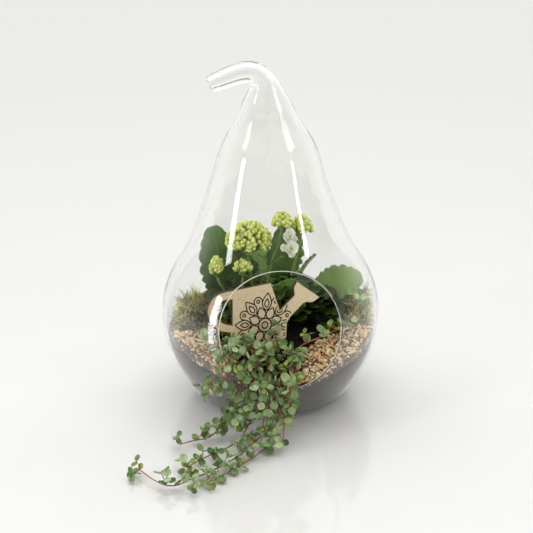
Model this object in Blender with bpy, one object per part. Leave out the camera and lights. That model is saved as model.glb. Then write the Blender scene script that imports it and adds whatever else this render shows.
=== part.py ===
"""A planted terrarium: a blown glass pear with a round opening in its belly, soil, grit and moss,
a kalanchoe in bud, a trailing pilea that hangs out of the opening, and a plywood watering can.

The pear stands on its flat base with the opening facing -Y. Lengths are written in millimetres
and become metres when a mesh is made.
"""
import math
import random

import bpy
from mathutils import Matrix, Vector

MM = 0.001
UP = Vector((0, 0, 1))

# Glass: height and outer radius of the upright part, how far the hand-blown neck sways to the side
# (height, x), then the bent stem's rings (x, z, radius)
SIDES = 30
WALL = 3.0
BASE = 5.0
PEAR_OUTLINE = [(0, 62), (4, 76), (12, 85.5), (24, 94), (40, 103), (58, 110.8), (78, 114.3),
                (98, 114.9), (118, 112.8), (138, 105.1), (158, 93.6), (178, 82.5), (198, 74.7),
                (218, 67.3), (240, 60.1), (260, 53.8), (280, 46.9), (298, 34.9), (312, 28.4)]
NECK_SWAY = [(0, 0), (150, 0), (180, -0.8), (200, -1.3), (240, -2.2), (285, -1.9), (298, -2.7), (312, -3)]
STEM_RINGS = [(-5.7, 324.4, 22.6), (-5.9, 334.7, 17.2), (-9.4, 344.5, 13.2), (-16.4, 350.7, 11.2),
              (-25.4, 351.9, 10.7), (-35.4, 349.3, 10.3), (-47.5, 344.9, 9.8), (-59.5, 340.4, 8.8)]

# The round opening: its middle and radius, and how far its face looks up
OPENING_CENTRE = Vector((0, -95.7, 108.9))
OPENING_RADIUS = 62.0
OPENING_TILT = math.radians(10)

# Ground: the soil rises from the lip of the opening to the back, and grit lies on its front part
LIP = Vector((0, -106, 0))
SOIL_AT_LIP = 43.0
SOIL_RISE = 0.28
SOIL_TOP = 74.0
WALL_GAP = 0.6
GRIT_THIN = 2.0
GRIT_THICK = 9.0
GRIT_REACH = 60.0
GRIT_CELL = 6.8
GRIT_BUMP = 0.9
GRIT_FIELD = (-116, 116, -116, -6)
TOUCH_GAP = 0.35
BARE_SOIL = [(-125, -24), (-96, -28), (-70, -34), (-51, -46), (-49, -68), (-39, -82), (-12, -87),
             (15, -84), (27, -72), (30, -56), (46, -46), (70, -38), (96, -30), (125, -26),
             (125, 125), (-125, 125)]

# Plywood watering can, in its own plane from the body's top left corner, and where it stands
PLY = 4.0
CAN_CORNER = Vector((-50, -60, 140.5))
CAN_YAW = math.radians(20)
CAN_LEAN = math.radians(8)
CAN_ROLL = math.radians(1.5)
CAN_OUTLINE = [(0, 0), (48, 0), (55.4, -31), (73.4, -18.5), (73.5, -10), (77.7, -4.3), (102.5, -26),
               (93.6, -29.8), (84.4, -28.4), (75.4, -34.4), (67.5, -39.8), (62.3, -45.5),
               (60, -62), (34, -62), (29, -97), (23, -97), (18, -62), (-4, -62), (-2, -43),
               (-13.7, -38.5), (-21.5, -28), (-24, -16), (-18, -5), (-9, -0.8)]
CAN_HANDLE_HOLE = [(3.6, -9), (1, -36), (-9, -31.5), (-14.6, -23), (-13, -12.5), (-5, -8.5)]
STAKE_SLOT = (16.5, 35.5, -99, -66)

# Moss: ellipsoids (centre x, y, height above the soil, radii) under each clump, and its sprigs
MOSS = {
    "moss_left": [((-81, 3), (25, 23, 38)), ((-57, -8), (15, 14, 20))],
    "moss_right": [((93, -10), (16, 17, 37)), ((75, -13), (16, 14, 17))],
}
MOSS_SPRIGS = 26

# What stands in the soil: how deep its foot goes
PLANT_DEPTH = 5.0

# Kalanchoe leaves: root (x, y), blade base, blade tip, facing, width, bow of the midrib
LEAF_THICK = 1.3
PETIOLE_RADIUS = 2.0
LEAVES = {
    "kalanchoe_leaf_left": ((-36, 26), (-46, 32, 99), (-60, 32, 179), (0.15, -1, 0.25), 48, 6),
    "kalanchoe_leaf_centre": ((14, 30), (14, 29, 118), (20, 25, 184), (0.2, -1, 0.2), 42, 5),
    "kalanchoe_leaf_right": ((30, 10), (50, 8, 108), (99, 0, 126), (-0.1, -0.75, 0.75), 42, 6),
    "kalanchoe_leaf_middle": ((-12, 26), (-18, 24, 108), (-40, 18, 156), (0.1, -1, 0.4), 36, 4),
    "kalanchoe_leaf_front": ((8, -6), (9, -8, 92), (24, -20, 134), (0.1, -0.8, 0.6), 42, 5),
    "kalanchoe_leaf_low": ((-24, -8), (-25, -12, 90), (-36, -30, 130), (-0.1, -0.8, 0.6), 38, 5),
    "kalanchoe_leaf_back_left": ((-26, 40), (-32, 46, 94), (-58, 68, 132), (0.3, 0.5, 0.9), 42, 5),
    "kalanchoe_leaf_back_right": ((24, 40), (32, 46, 94), (58, 66, 130), (-0.3, 0.5, 0.9), 42, 5),
    "kalanchoe_leaf_back": ((-2, 44), (-3, 52, 98), (-4, 80, 138), (0, 0.4, 0.9), 38, 4),
}

# Flower stalks: the points of each from the soil up, and the bract pairs on it (height share, turn)
STALK_RADIUS = 1.7
BRACT_REACH = 15
BRACT_RISE = 9
BRACT_WIDTH = 8
STALKS = {
    "kalanchoe_stalk_big": ([(-12, 12), (-15, 12, 100), (-20, 11, 130), (-23, 10, 152)], 0.62, 20),
    "kalanchoe_stalk_top": ([(2, 10), (-3, 10, 110), (1, 8, 140), (9, 7, 166), (12.5, 7, 179)], 0.7, 160),
    "kalanchoe_stalk_right": ([(14, 14), (20, 14, 110), (29, 13, 148), (33, 11, 170)], 0.55, 40),
    "kalanchoe_stalk_left": ([(-34, 12), (-42, 11, 96), (-51, 8, 118), (-56, 6, 130)], 0.5, 60),
    "kalanchoe_stalk_low": ([(-22, 4), (-27, 4, 98), (-29, 2, 116), (-29.5, 0, 132)], 0.5, 110),
}

# Bud heads: stalk, middle of the dome, its radii, buds, branches, seed
BUD = 2.9
HEADS = {
    "kalanchoe_head_big": ("kalanchoe_stalk_big", (-22, 9, 169), (24, 19, 22), 24, 3, 3),
    "kalanchoe_head_top": ("kalanchoe_stalk_top", (13, 7, 189), (11, 10, 13), 10, 1, 5),
    "kalanchoe_head_right": ("kalanchoe_stalk_right", (35, 10, 182), (11.5, 10, 14), 10, 1, 7),
    "kalanchoe_head_left": ("kalanchoe_stalk_left", (-57, 5, 140), (9, 9, 13), 9, 1, 9),
    "kalanchoe_head_low": ("kalanchoe_stalk_low", (-29.5, -1, 142), (10, 9, 10), 7, 1, 11),
}

# Open double flowers: height of the foot on the right stalk, middle, facing, petal length
FLOWERS = {
    "kalanchoe_flower_upper": (158, (20.5, 1, 172.5), (-0.2, -0.58, 0.79), 6.6),
    "kalanchoe_flower_lower": (148, (19.5, -9, 163.5), (0.1, -0.78, 0.62), 6.6),
}

# Pilea: stem radius, leaf radius and thickness, and the joints that its leaves grow from
PILEA_STEM = 0.9
PILEA_LEAF = 4.5
PILEA_THICK = 0.75
FIRST_JOINT = 18.0
JOINT_PITCH = 17.5
JOINT_HALF = 0.8
JOINT_LEAVES = 3
LINE_STEP = 3.0
STEM_PIECE = 8.0
# Strands: root (x, y) and the route of each stem from there
STRANDS = [
    ((-5, -79), [(-5, -88, 64), (-6, -106, 52.5), (-9, -117, 40), (-14, -121, 22), (-25, -127, 8),
                 (-38, -140, 4), (-51, -158, 4), (-66, -172, 4), (-80, -184, 4), (-95, -193, 4),
                 (-108, -203, 4), (-120, -205, 5), (-133, -192, 5), (-146, -174, 7)]),
    ((-15, -79), [(-17, -90, 66), (-19, -106, 55), (-25, -117, 42), (-33, -120, 24), (-43, -126, 9),
                  (-56, -137, 5), (-71, -148, 5), (-86, -160, 5), (-99, -173, 5)]),
    ((4, -78), [(1, -90, 62), (-1, -106, 52), (-4, -120, 38), (-8, -127, 20), (-15, -137, 8),
                (-28, -152, 4), (-45, -170, 4), (-63, -187, 4), (-82, -203, 4), (-97, -216, 5)]),
    ((-33, -76), [(-35, -90, 74), (-38, -103, 65), (-46, -113, 52), (-54, -116, 34), (-63, -115, 16),
                  (-75, -117, 6), (-90, -120, 5), (-105, -127, 5)]),
    ((-40, -71), [(-43, -86, 80), (-47, -101, 74), (-57, -110, 66), (-68, -113, 58), (-78, -113, 51)]),
    ((15, -76), [(12, -90, 64), (10, -104, 56), (8, -114, 47), (7, -119, 36), (6, -120, 25)]),
    ((9, -71), [(6, -90, 58), (4, -106, 53.5), (1, -120, 42), (0, -128, 28), (-1, -135, 16),
                (-3, -140, 9)]),
    ((-11, -72), [(-12, -90, 72), (-12, -107, 60), (-16, -122, 46), (-20, -129, 32), (-22, -132, 20)]),
    ((-24, -77), [(-25, -90, 70), (-27, -105, 58), (-34, -117, 48), (-42, -123, 34), (-47, -125, 20)]),
    ((-44, -66), [(-46, -81, 88), (-49, -95, 87), (-55, -107, 82), (-63, -114, 74), (-72, -116, 65)]),
    ((19, -70), [(17, -80, 69), (14, -92, 70), (11, -105, 66), (8, -118, 58), (6, -125, 48),
                 (4, -128, 38)]),
    ((1, -67), [(1, -68, 72), (0, -66, 84), (-3, -66, 97)]),
    ((-25, -69), [(-27, -72, 74), (-31, -78, 86), (-35, -82, 94)]),
    ((15, -64), [(25, -60, 76), (41, -55, 81), (57, -50, 85), (72, -45, 91), (84, -38, 101),
                 (90, -33, 114)]),
    ((-47, -60), [(-48, -61, 75), (-56, -65, 83), (-66, -69, 89), (-73, -68, 96)]),
    ((-8, -65), [(-9, -72, 74), (-12, -82, 82), (-16, -92, 84)]),
    ((8, -64), [(9, -72, 72), (12, -82, 78), (14, -93, 76)]),
]

PAINTS = {
    "clear_glass": ((0.92, 0.95, 0.93), 0.03),
    "potting_soil": ((0.045, 0.034, 0.026), 0.95),
    "beige_grit": ((0.5, 0.4, 0.27), 0.85),
    "moss_green": ((0.13, 0.15, 0.04), 0.95),
    "plywood": ((0.72, 0.56, 0.36), 0.6),
    "leaf_green": ((0.08, 0.16, 0.05), 0.45),
    "bud_lime": ((0.42, 0.52, 0.12), 0.5),
    "petal_white": ((0.85, 0.84, 0.72), 0.6),
    "pilea_green": ((0.1, 0.2, 0.09), 0.6),
}


# Small mesh helpers

def paint(name):
    """The Principled material of one sub-part."""
    material = bpy.data.materials.get(name)
    if material is None:
        colour, roughness = PAINTS[name]
        material = bpy.data.materials.new(name)
        material.use_nodes = True
        shader = material.node_tree.nodes["Principled BSDF"]
        shader.inputs["Base Color"].default_value = (*colour, 1)
        shader.inputs["Roughness"].default_value = roughness
        shader.inputs["Metallic"].default_value = 0
        if name == "clear_glass":
            shader.inputs["Transmission Weight"].default_value = 1
    return material


def add_object(name, mesh_data, paint_name, smooth_angle=None, collection=None):
    """Makes an object from (vertices in millimetres, faces)."""
    vertices, faces = mesh_data
    mesh = bpy.data.meshes.new(name)
    mesh.from_pydata([Vector(v) * MM for v in vertices], [], faces)
    mesh.materials.append(paint(paint_name))
    if smooth_angle is not None:
        mesh.shade_smooth()
        mesh.set_sharp_from_angle(angle=math.radians(smooth_angle))
    thing = bpy.data.objects.new(name, mesh)
    (collection or bpy.context.scene.collection).objects.link(thing)
    return thing


def boolean(target, operation, other, solver="EXACT"):
    """Applies one Boolean with an object or a collection, and removes what it used."""
    modifier = target.modifiers.new(operation, "BOOLEAN")
    modifier.operation = operation
    modifier.solver = solver
    if isinstance(other, bpy.types.Collection):
        modifier.operand_type = "COLLECTION"
        modifier.collection = other
        used = list(other.objects)
    else:
        modifier.object = other
        used = [other]
    bpy.context.view_layer.update()
    depsgraph = bpy.context.evaluated_depsgraph_get()
    mesh = bpy.data.meshes.new_from_object(target.evaluated_get(depsgraph))
    target.modifiers.clear()
    mesh.name = target.name
    target.data = mesh
    for thing in used:
        bpy.data.objects.remove(thing)
    if isinstance(other, bpy.types.Collection):
        bpy.data.collections.remove(other)


def fused(name, paint_name, pieces, solver="MANIFOLD", smooth_angle=None):
    """One body: the first piece joined with all the others by one Boolean union."""
    body = add_object(name, pieces[0], paint_name)
    repeats = bpy.data.collections.new(name + "_repeats")
    bpy.context.scene.collection.children.link(repeats)
    for number, piece in enumerate(pieces[1:]):
        add_object("%s_repeat_%d" % (name, number), piece, paint_name, collection=repeats)
    boolean(body, "UNION", repeats, solver)
    if smooth_angle is not None:
        body.data.shade_smooth()
        body.data.set_sharp_from_angle(angle=math.radians(smooth_angle))
    return body


def between(table, at):
    """Straight interpolation in a table of (position, value) pairs."""
    for (a, low), (b, high) in zip(table, table[1:]):
        if at <= b:
            return low + (high - low) * max(0.0, (at - a) / (b - a))
    return table[-1][1]


def smooth_step(t):
    t = min(1.0, max(0.0, t))
    return t * t * (3 - 2 * t)


def smooth_line(points, step):
    """A Catmull-Rom curve through the points, read at even steps along its length."""
    points = [Vector(p) for p in points]
    ends = [points[0] * 2 - points[1]] + points + [points[-1] * 2 - points[-2]]
    fine = []
    for a, b, c, d in zip(ends, ends[1:], ends[2:], ends[3:]):
        for i in range(12):
            t = i / 12
            fine.append(0.5 * (2 * b + (c - a) * t + (2 * a - 5 * b + 4 * c - d) * t * t
                               + (3 * b - a - 3 * c + d) * t ** 3))
    fine.append(points[-1])
    lengths = [0.0]
    for a, b in zip(fine, fine[1:]):
        lengths.append(lengths[-1] + (b - a).length)
    count = max(2, round(lengths[-1] / step))
    line, i = [], 0
    for k in range(count + 1):
        want = lengths[-1] * k / count
        while i < len(fine) - 2 and lengths[i + 1] < want:
            i += 1
        share = (want - lengths[i]) / max(1e-9, lengths[i + 1] - lengths[i])
        line.append(fine[i].lerp(fine[i + 1], min(1.0, share)))
    return line


def tube(line, radius, sides, tip=1.0):
    """A closed round tube along a line, narrowing to radius times tip, or with a radius at each point."""
    line = [Vector(p) for p in line]
    vertices, faces = [], []
    across = None
    last = len(line) - 1
    radii = radius
    if not isinstance(radius, list):
        radii = [radius * (1 + (tip - 1) * i / last) for i in range(last + 1)]
    for i, point in enumerate(line):
        along = (line[min(i + 1, last)] - line[max(i - 1, 0)]).normalized()
        if across is None:
            across = along.orthogonal()
        across = (across - along * across.dot(along)).normalized()
        other = along.cross(across)
        for s in range(sides):
            turn = 2 * math.pi * s / sides
            vertices.append(point + (across * math.cos(turn) + other * math.sin(turn)) * radii[i])
    for i in range(last):
        for s in range(sides):
            a, b = i * sides + s, i * sides + (s + 1) % sides
            faces.append((a, b, b + sides, a + sides))
    faces.append(tuple(reversed(range(sides))))
    faces.append(tuple(range(last * sides, last * sides + sides)))
    return vertices, faces


def blade(line, facing, half_widths, thickness, columns, cup=0.0):
    """A thin closed blade along a line, split into triangles alike on both faces."""
    line = [Vector(p) for p in line]
    facing = Vector(facing)
    rows, last = len(line), len(line) - 1
    top, bottom = [], []
    for k, point in enumerate(line):
        along = (line[min(k + 1, last)] - line[max(k - 1, 0)]).normalized()
        side = along.cross(facing).normalized()
        normal = side.cross(along)
        for j in range(columns + 1):
            share = 2 * j / columns - 1
            middle = point + side * (half_widths[k] * share) + normal * (cup * half_widths[k] * share ** 2)
            top.append(middle + normal * (thickness / 2))
            bottom.append(middle - normal * (thickness / 2))
    count, width = len(top), columns + 1
    faces = []
    for k in range(rows - 1):
        for j in range(columns):
            a, d = k * width + j, (k + 1) * width + j
            b, c = a + 1, d + 1
            faces += [(a, b, c), (a, c, d), (a + count, c + count, b + count),
                      (a + count, d + count, c + count)]
    rim = list(range(width)) + [k * width + columns for k in range(1, rows)]
    rim += [last * width + j for j in reversed(range(columns))]
    rim += [k * width for k in reversed(range(1, last))]
    for p, q in zip(rim, rim[1:] + rim[:1]):
        faces += [(q, p, p + count), (q, p + count, q + count)]
    return top + bottom, faces


def prism(outline, low, high):
    """An upright prism over an outline that runs anticlockwise."""
    count = len(outline)
    vertices = [(x, y, low) for x, y in outline] + [(x, y, high) for x, y in outline]
    faces = [tuple(reversed(range(count))), tuple(range(count, 2 * count))]
    for i in range(count):
        j = (i + 1) % count
        faces.append((i, j, j + count, i + count))
    return vertices, faces


# Glass

def outer_radius(height):
    return between(PEAR_OUTLINE, height)


def inner_radius(height):
    """The inside of the wall, with straight facets between the same rings as the glass."""
    return between(INNER_OUTLINE, height)


INNER_OUTLINE = [(BASE, 70)] + [(z, r - WALL) for z, r in PEAR_OUTLINE if z >= 12]


def ring(x, z, along, radius):
    """Points of one ring of the pear, square to its middle line."""
    across = Vector((along.z, 0, -along.x))
    points = []
    for s in range(SIDES):
        turn = 2 * math.pi * s / SIDES
        points.append(Vector((x, 0, z)) + across * (radius * math.cos(turn))
                      + Vector((0, radius * math.sin(turn), 0)))
    return points


def stem_rings(inset):
    """The bent stem's rings, their radii smaller by inset."""
    middles = [(NECK_SWAY[-1][1], PEAR_OUTLINE[-1][0], 0)] + STEM_RINGS
    rings = []
    for i in range(1, len(middles)):
        before, here = middles[i - 1], middles[i]
        after = middles[min(i + 1, len(middles) - 1)]
        along = Vector((after[0] - before[0], 0, after[1] - before[1])).normalized()
        rings.append(ring(here[0], here[1], along, here[2] - inset))
    return rings


def make_glass():
    """The blown shell: outside, cut end of the stem and inside in one skin, and the opening cut out."""
    outside = [ring(between(NECK_SWAY, z), z, UP, r) for z, r in PEAR_OUTLINE] + stem_rings(0)
    inside = [ring(between(NECK_SWAY, z), z, UP, r) for z, r in INNER_OUTLINE] + stem_rings(WALL)
    rings = outside + inside[::-1]
    vertices = [p for points in rings for p in points]
    faces = [tuple(reversed(range(SIDES)))]
    for i in range(len(rings) - 1):
        for s in range(SIDES):
            a, b = i * SIDES + s, i * SIDES + (s + 1) % SIDES
            faces.append((a, b, b + SIDES, a + SIDES))
    faces.append(tuple(range((len(rings) - 1) * SIDES, len(rings) * SIDES)))
    glass = add_object("glass_pear", (vertices, faces), "clear_glass")
    outwards = Vector((0, -math.cos(OPENING_TILT), math.sin(OPENING_TILT)))
    ends = [OPENING_CENTRE - outwards * 40, OPENING_CENTRE + outwards * 40]
    cutter = add_object("opening_cutter", tube(ends, OPENING_RADIUS, 48), "clear_glass")
    boolean(glass, "DIFFERENCE", cutter)
    glass.data.shade_smooth()
    glass.data.set_sharp_from_angle(angle=math.radians(35))
    return glass


# Ground

def soil_height(x, y):
    """The soil rises evenly from the lip of the opening until it is level."""
    away = math.hypot(x - LIP.x, y - LIP.y)
    return min(SOIL_TOP, SOIL_AT_LIP + SOIL_RISE * away)


def grit_height(x, y):
    """The grit is thin behind the lip, where it must stay below the opening's edge."""
    away = math.hypot((x - LIP.x) / 2, y - LIP.y)
    return soil_height(x, y) + GRIT_THIN + GRIT_THICK * smooth_step(away / GRIT_REACH)


def polar_solid(floor_height, top_height, levels, flat=False):
    """A body that fills the pear's inside between a floor and a top, both given by (x, y)."""
    shares = [1, 0.84, 0.64, 0.42, 0.2]
    turns = [2 * math.pi * s / SIDES for s in range(SIDES)]

    def at_wall(turn, height_of):
        height = height_of(0, 0)
        for _ in range(30):
            radius = inner_radius(height) - WALL_GAP
            height = height_of(radius * math.cos(turn), radius * math.sin(turn))
        return inner_radius(height) - WALL_GAP, height

    vertices = []
    for share in [] if flat else shares[:0:-1]:
        for turn in turns:
            reach = at_wall(turn, floor_height)[0] * share
            x, y = reach * math.cos(turn), reach * math.sin(turn)
            vertices.append((x, y, floor_height(x, y)))
    for level in range(levels + 1):
        for turn in turns:
            low, high = at_wall(turn, floor_height)[1], at_wall(turn, top_height)[1]
            height = low + (high - low) * level / levels
            radius = inner_radius(height) - WALL_GAP
            vertices.append((radius * math.cos(turn), radius * math.sin(turn), height))
    for share in shares[1:]:
        for turn in turns:
            reach = at_wall(turn, top_height)[0] * share
            x, y = reach * math.cos(turn), reach * math.sin(turn)
            vertices.append((x, y, top_height(x, y)))
    rings = len(vertices) // SIDES
    faces = []
    for i in range(rings - 1):
        for s in range(SIDES):
            a, b = i * SIDES + s, i * SIDES + (s + 1) % SIDES
            if i < rings - len(shares):
                faces += [(a, b, b + SIDES), (a, b + SIDES, a + SIDES)]
            else:
                faces += [(a, b, a + SIDES), (b, b + SIDES, a + SIDES)]
    low_middle, high_middle = len(vertices) + 1, len(vertices)
    vertices.append((0, 0, top_height(0, 0)))
    for s in range(SIDES):
        first = (rings - 1) * SIDES
        faces.append((high_middle, first + s, first + (s + 1) % SIDES))
    if flat:
        faces.append(tuple(reversed(range(SIDES))))
        return vertices, faces
    vertices.append((0, 0, floor_height(0, 0)))
    for s in range(SIDES):
        faces.append((low_middle, (s + 1) % SIDES, s))
    return vertices, faces


def flat_floor(x, y):
    return BASE + WALL_GAP


def make_soil(holes):
    """The soil that fills the foot of the pear, with a plain hole for each stem."""
    soil = add_object("soil", polar_solid(flat_floor, soil_height, 4, flat=True), "potting_soil")
    cutters = bpy.data.collections.new("soil_holes")
    bpy.context.scene.collection.children.link(cutters)
    for number, hole in enumerate(holes):
        add_object("hole_%d" % number, hole, "potting_soil", collection=cutters)
    boolean(soil, "DIFFERENCE", cutters)
    return soil


def grain_relief():
    """A block over the front of the ground whose top follows the grit, each point raised or lowered."""
    draw = random.Random(21)
    left, right, front, back = GRIT_FIELD
    columns, rows = round((right - left) / GRIT_CELL), round((back - front) / GRIT_CELL)
    top, faces = [], []
    for i in range(rows + 1):
        for j in range(columns + 1):
            x, y = left + (right - left) * j / columns, front + (back - front) * i / rows
            top.append((x, y, grit_height(x, y) + draw.uniform(-GRIT_BUMP, GRIT_BUMP)))
    width = columns + 1
    for i in range(rows):
        for j in range(columns):
            a = i * width + j
            faces += [(a, a + 1, a + width + 1), (a, a + width + 1, a + width)]
    rim = list(range(width)) + [i * width + columns for i in range(1, rows + 1)]
    rim += [rows * width + j for j in reversed(range(columns))]
    rim += [i * width for i in reversed(range(1, rows))]
    count, around = len(top), len(rim)
    for n in range(around):
        m = (n + 1) % around
        faces.append((rim[m], rim[n], count + n, count + m))
    faces.append(tuple(count + n for n in reversed(range(around))))
    return top + [(top[p][0], top[p][1], BASE) for p in rim], faces


def make_grit():
    """A slab on the soil whose top is broken up into grains, cut back to its own patch."""
    grit = add_object("gravel", polar_solid(lambda x, y: soil_height(x, y) + TOUCH_GAP,
                                            lambda x, y: soil_height(x, y) + 30, 3), "beige_grit")
    boolean(grit, "INTERSECT", add_object("relief", grain_relief(), "beige_grit"))
    boolean(grit, "DIFFERENCE", add_object("bare_soil", prism(BARE_SOIL, BASE, SOIL_TOP * 2), "beige_grit"))
    return grit


# Moss

def ellipsoid(centre, radii, sides, rings):
    """A closed ellipsoid with a pole at its top and one at its foot."""
    vertices, faces = [Vector(centre) - Vector((0, 0, radii[2]))], []
    for i in range(1, rings):
        lift = math.pi * i / rings
        for s in range(sides):
            turn = 2 * math.pi * s / sides
            vertices.append(Vector(centre) + Vector((radii[0] * math.sin(lift) * math.cos(turn),
                                                     radii[1] * math.sin(lift) * math.sin(turn),
                                                     -radii[2] * math.cos(lift))))
    vertices.append(Vector(centre) + Vector((0, 0, radii[2])))
    top = len(vertices) - 1
    for s in range(sides):
        after = (s + 1) % sides
        faces.append((0, 1 + after, 1 + s))
        faces.append((top, top - sides + s, top - sides + after))
    for i in range(rings - 2):
        for s in range(sides):
            a, b = 1 + i * sides + s, 1 + i * sides + (s + 1) % sides
            faces.append((a, b, b + sides, a + sides))
    return vertices, faces


def keep_inside(point, margin):
    """Moves a point towards the axis until it is clear of the glass."""
    reach = math.hypot(point.x, point.y)
    limit = inner_radius(point.z) - margin
    if reach > limit:
        point = Vector((point.x * limit / reach, point.y * limit / reach, point.z))
    return point


def make_moss(name, lumps):
    """Low lumps on the soil, with curved sprigs standing out of them all over."""
    draw = random.Random(name)
    pieces = []
    for (x, y), radii in lumps:
        pieces.append(ellipsoid((x, y, soil_height(x, y)), [r - 4 for r in radii], 8, 5))
    weights = [r[0] * r[1] for _, r in lumps]
    for _ in range(MOSS_SPRIGS):
        (x, y), radii = draw.choices(lumps, weights)[0]
        lift, turn = draw.uniform(0.1, 1.35), draw.uniform(0, 2 * math.pi)
        way = Vector((math.sin(lift) * math.cos(turn), math.sin(lift) * math.sin(turn), math.cos(lift)))
        foot = Vector((x, y, soil_height(x, y)))
        foot += Vector([w * (r - 7) for w, r in zip(way, radii)])
        lean = Vector((draw.uniform(-1, 1), draw.uniform(-1, 1), draw.uniform(-0.2, 0.8)))
        end = foot + way * 5 + (way + lean * 0.7).normalized() * draw.uniform(7, 11)
        pieces.append(tube([foot, keep_inside(end, 1.5)], 1.6, 3, 0.35))
    moss = fused(name, "moss_green", pieces)
    ground = add_object("ground_cutter", polar_solid(flat_floor, lambda x, y: soil_height(x, y) + TOUCH_GAP,
                                                     2, flat=True), "moss_green")
    boolean(moss, "DIFFERENCE", ground)
    return moss


# Plywood watering can

def can_place():
    """The plate's own frame: its outline's plane is XY and it faces +Z."""
    flat = Vector((math.cos(CAN_YAW), math.sin(CAN_YAW), 0))
    facing = Vector((math.sin(CAN_YAW), -math.cos(CAN_YAW), 0))
    rise = UP * math.cos(CAN_LEAN) - facing * math.sin(CAN_LEAN)
    right = flat * math.cos(CAN_ROLL) + rise * math.sin(CAN_ROLL)
    rise = rise * math.cos(CAN_ROLL) - flat * math.sin(CAN_ROLL)
    facing = right.cross(rise)
    place = Matrix((right, rise, facing)).transposed().to_4x4()
    place.translation = CAN_CORNER
    return place


def on_can(mesh_data):
    vertices, faces = mesh_data
    place = can_place()
    return [place @ Vector(v) for v in vertices], faces


def anticlockwise(outline):
    area = sum(a[0] * b[1] - b[0] * a[1] for a, b in zip(outline, outline[1:] + outline[:1]))
    return outline if area > 0 else outline[::-1]


def make_can():
    can = add_object("ornament", on_can(prism(anticlockwise(CAN_OUTLINE), -PLY / 2, PLY / 2)), "plywood")
    hole = add_object("hole_cutter", on_can(prism(anticlockwise(CAN_HANDLE_HOLE), -PLY, PLY)), "plywood")
    boolean(can, "DIFFERENCE", hole)
    return can


def can_slot():
    """The slot in the soil that takes the can's stake."""
    left, right, low, high = STAKE_SLOT
    outline = [(left, low), (right, low), (right, high), (left, high)]
    return on_can(prism(outline, -PLY / 2 - 0.5, PLY / 2 + 0.5))


# Kalanchoe

def planted(x, y):
    """The first points of a stem that stands in a hole in the soil."""
    ground = soil_height(x, y)
    return [(x, y, ground - PLANT_DEPTH), (x, y, ground), (x, y, ground + 5)]


def stem_hole(x, y, radius):
    """A square hole in the soil for one stem."""
    ground = soil_height(x, y)
    return tube([(x, y, ground - PLANT_DEPTH - 0.5), (x, y, ground + 6)], radius, 4)


def scalloped(length_share, width, lobes):
    """Half width of a kalanchoe leaf at a share of its length, its edge waved in round lobes."""
    full = math.sin(math.pi * min(0.97, 0.06 + 0.9 * length_share) ** 0.85)
    wave = 1 + 0.07 * math.cos(2 * math.pi * lobes * length_share)
    return max(1.0, width / 2 * full ** 0.7 * wave)


def leaf_blade(base, tip, facing, width, bow, rows, columns, thickness, lobes):
    """A cupped blade from base to tip whose edge is waved."""
    base, tip, facing = Vector(base), Vector(tip), Vector(facing).normalized()
    line = []
    for k in range(rows + 1):
        share = k / rows
        line.append(base.lerp(tip, share) + facing * (bow * math.sin(math.pi * share)))
    widths = [scalloped(k / rows, width, lobes) for k in range(rows + 1)]
    return blade(line, facing, widths, thickness, columns, 0.16)


def make_leaf(name, root, base, tip, facing, width, bow):
    """One big leaf with its own leaf stalk, which stands in the soil."""
    base, tip = Vector(base), Vector(tip)
    into_blade = base.lerp(tip, 0.12) + Vector(facing).normalized() * (bow * math.sin(math.pi * 0.12))
    foot = planted(*root)
    petiole = smooth_line(foot + [Vector(foot[-1]).lerp(base, 0.5) + UP * 3, base, into_blade], 11)
    pieces = [tube(petiole, PETIOLE_RADIUS, 4, 0.6),
              leaf_blade(base, tip, facing, width, bow, 8, 2, LEAF_THICK, 4)]
    return fused(name, "leaf_green", pieces)


def stalk_line(name):
    """The middle line of a flower stalk, from its foot in the soil up."""
    points = STALKS[name][0]
    return smooth_line(planted(*points[0]) + points[1:], 13)


def make_stalk(name):
    """A flower stalk with one pair of small bract leaves."""
    line = stalk_line(name)
    _, share, turn = STALKS[name]
    at = line[round(share * (len(line) - 1))]
    pieces = [tube(line, STALK_RADIUS, 4, 0.85)]
    for half in (0, 180):
        angle = math.radians(turn + half)
        out = Vector((math.cos(angle), math.sin(angle), 0))
        tip = at + out * BRACT_REACH + UP * BRACT_RISE
        pieces.append(leaf_blade(at + out * 0.4, tip, UP - out * 0.3, BRACT_WIDTH, 1.5, 3, 1, 1.0, 0.8))
    return fused(name, "leaf_green", pieces)


def bud(fork, foot, way):
    """A closed bud on its own thin stalk, as one four-sided club."""
    return tube([fork, foot, foot + way * BUD * 0.9, foot + way * BUD * 2.1],
                [0.75, 0.9, BUD, BUD * 0.55], 4)


def bud_places(middle, radii, count, branches, seed):
    """Where a head's buds sit on its dome, and the branch end that carries each of them."""
    draw = random.Random(seed)
    middle = Vector(middle)
    forks = []
    for b in range(branches):
        turn = 2 * math.pi * (b + 0.25) / branches
        forks.append(middle + Vector((radii[0] * 0.42 * math.cos(turn), radii[1] * 0.42 * math.sin(turn),
                                      -radii[2] * 0.45)))
    places = []
    for i in range(count):
        lift = math.acos(1 - 1.12 * (i + 0.5) / count)
        turn = i * math.pi * (3 - math.sqrt(5)) + draw.uniform(-0.15, 0.15)
        way = Vector((math.sin(lift) * math.cos(turn), math.sin(lift) * math.sin(turn), math.cos(lift)))
        spot = middle + Vector([w * (r - BUD * 2.1) for w, r in zip(way, radii)])
        fork = min(forks, key=lambda f: (f - spot).length)
        places.append((spot, (spot - fork).normalized().lerp(way, 0.4).normalized(), fork))
    return forks, places


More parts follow.
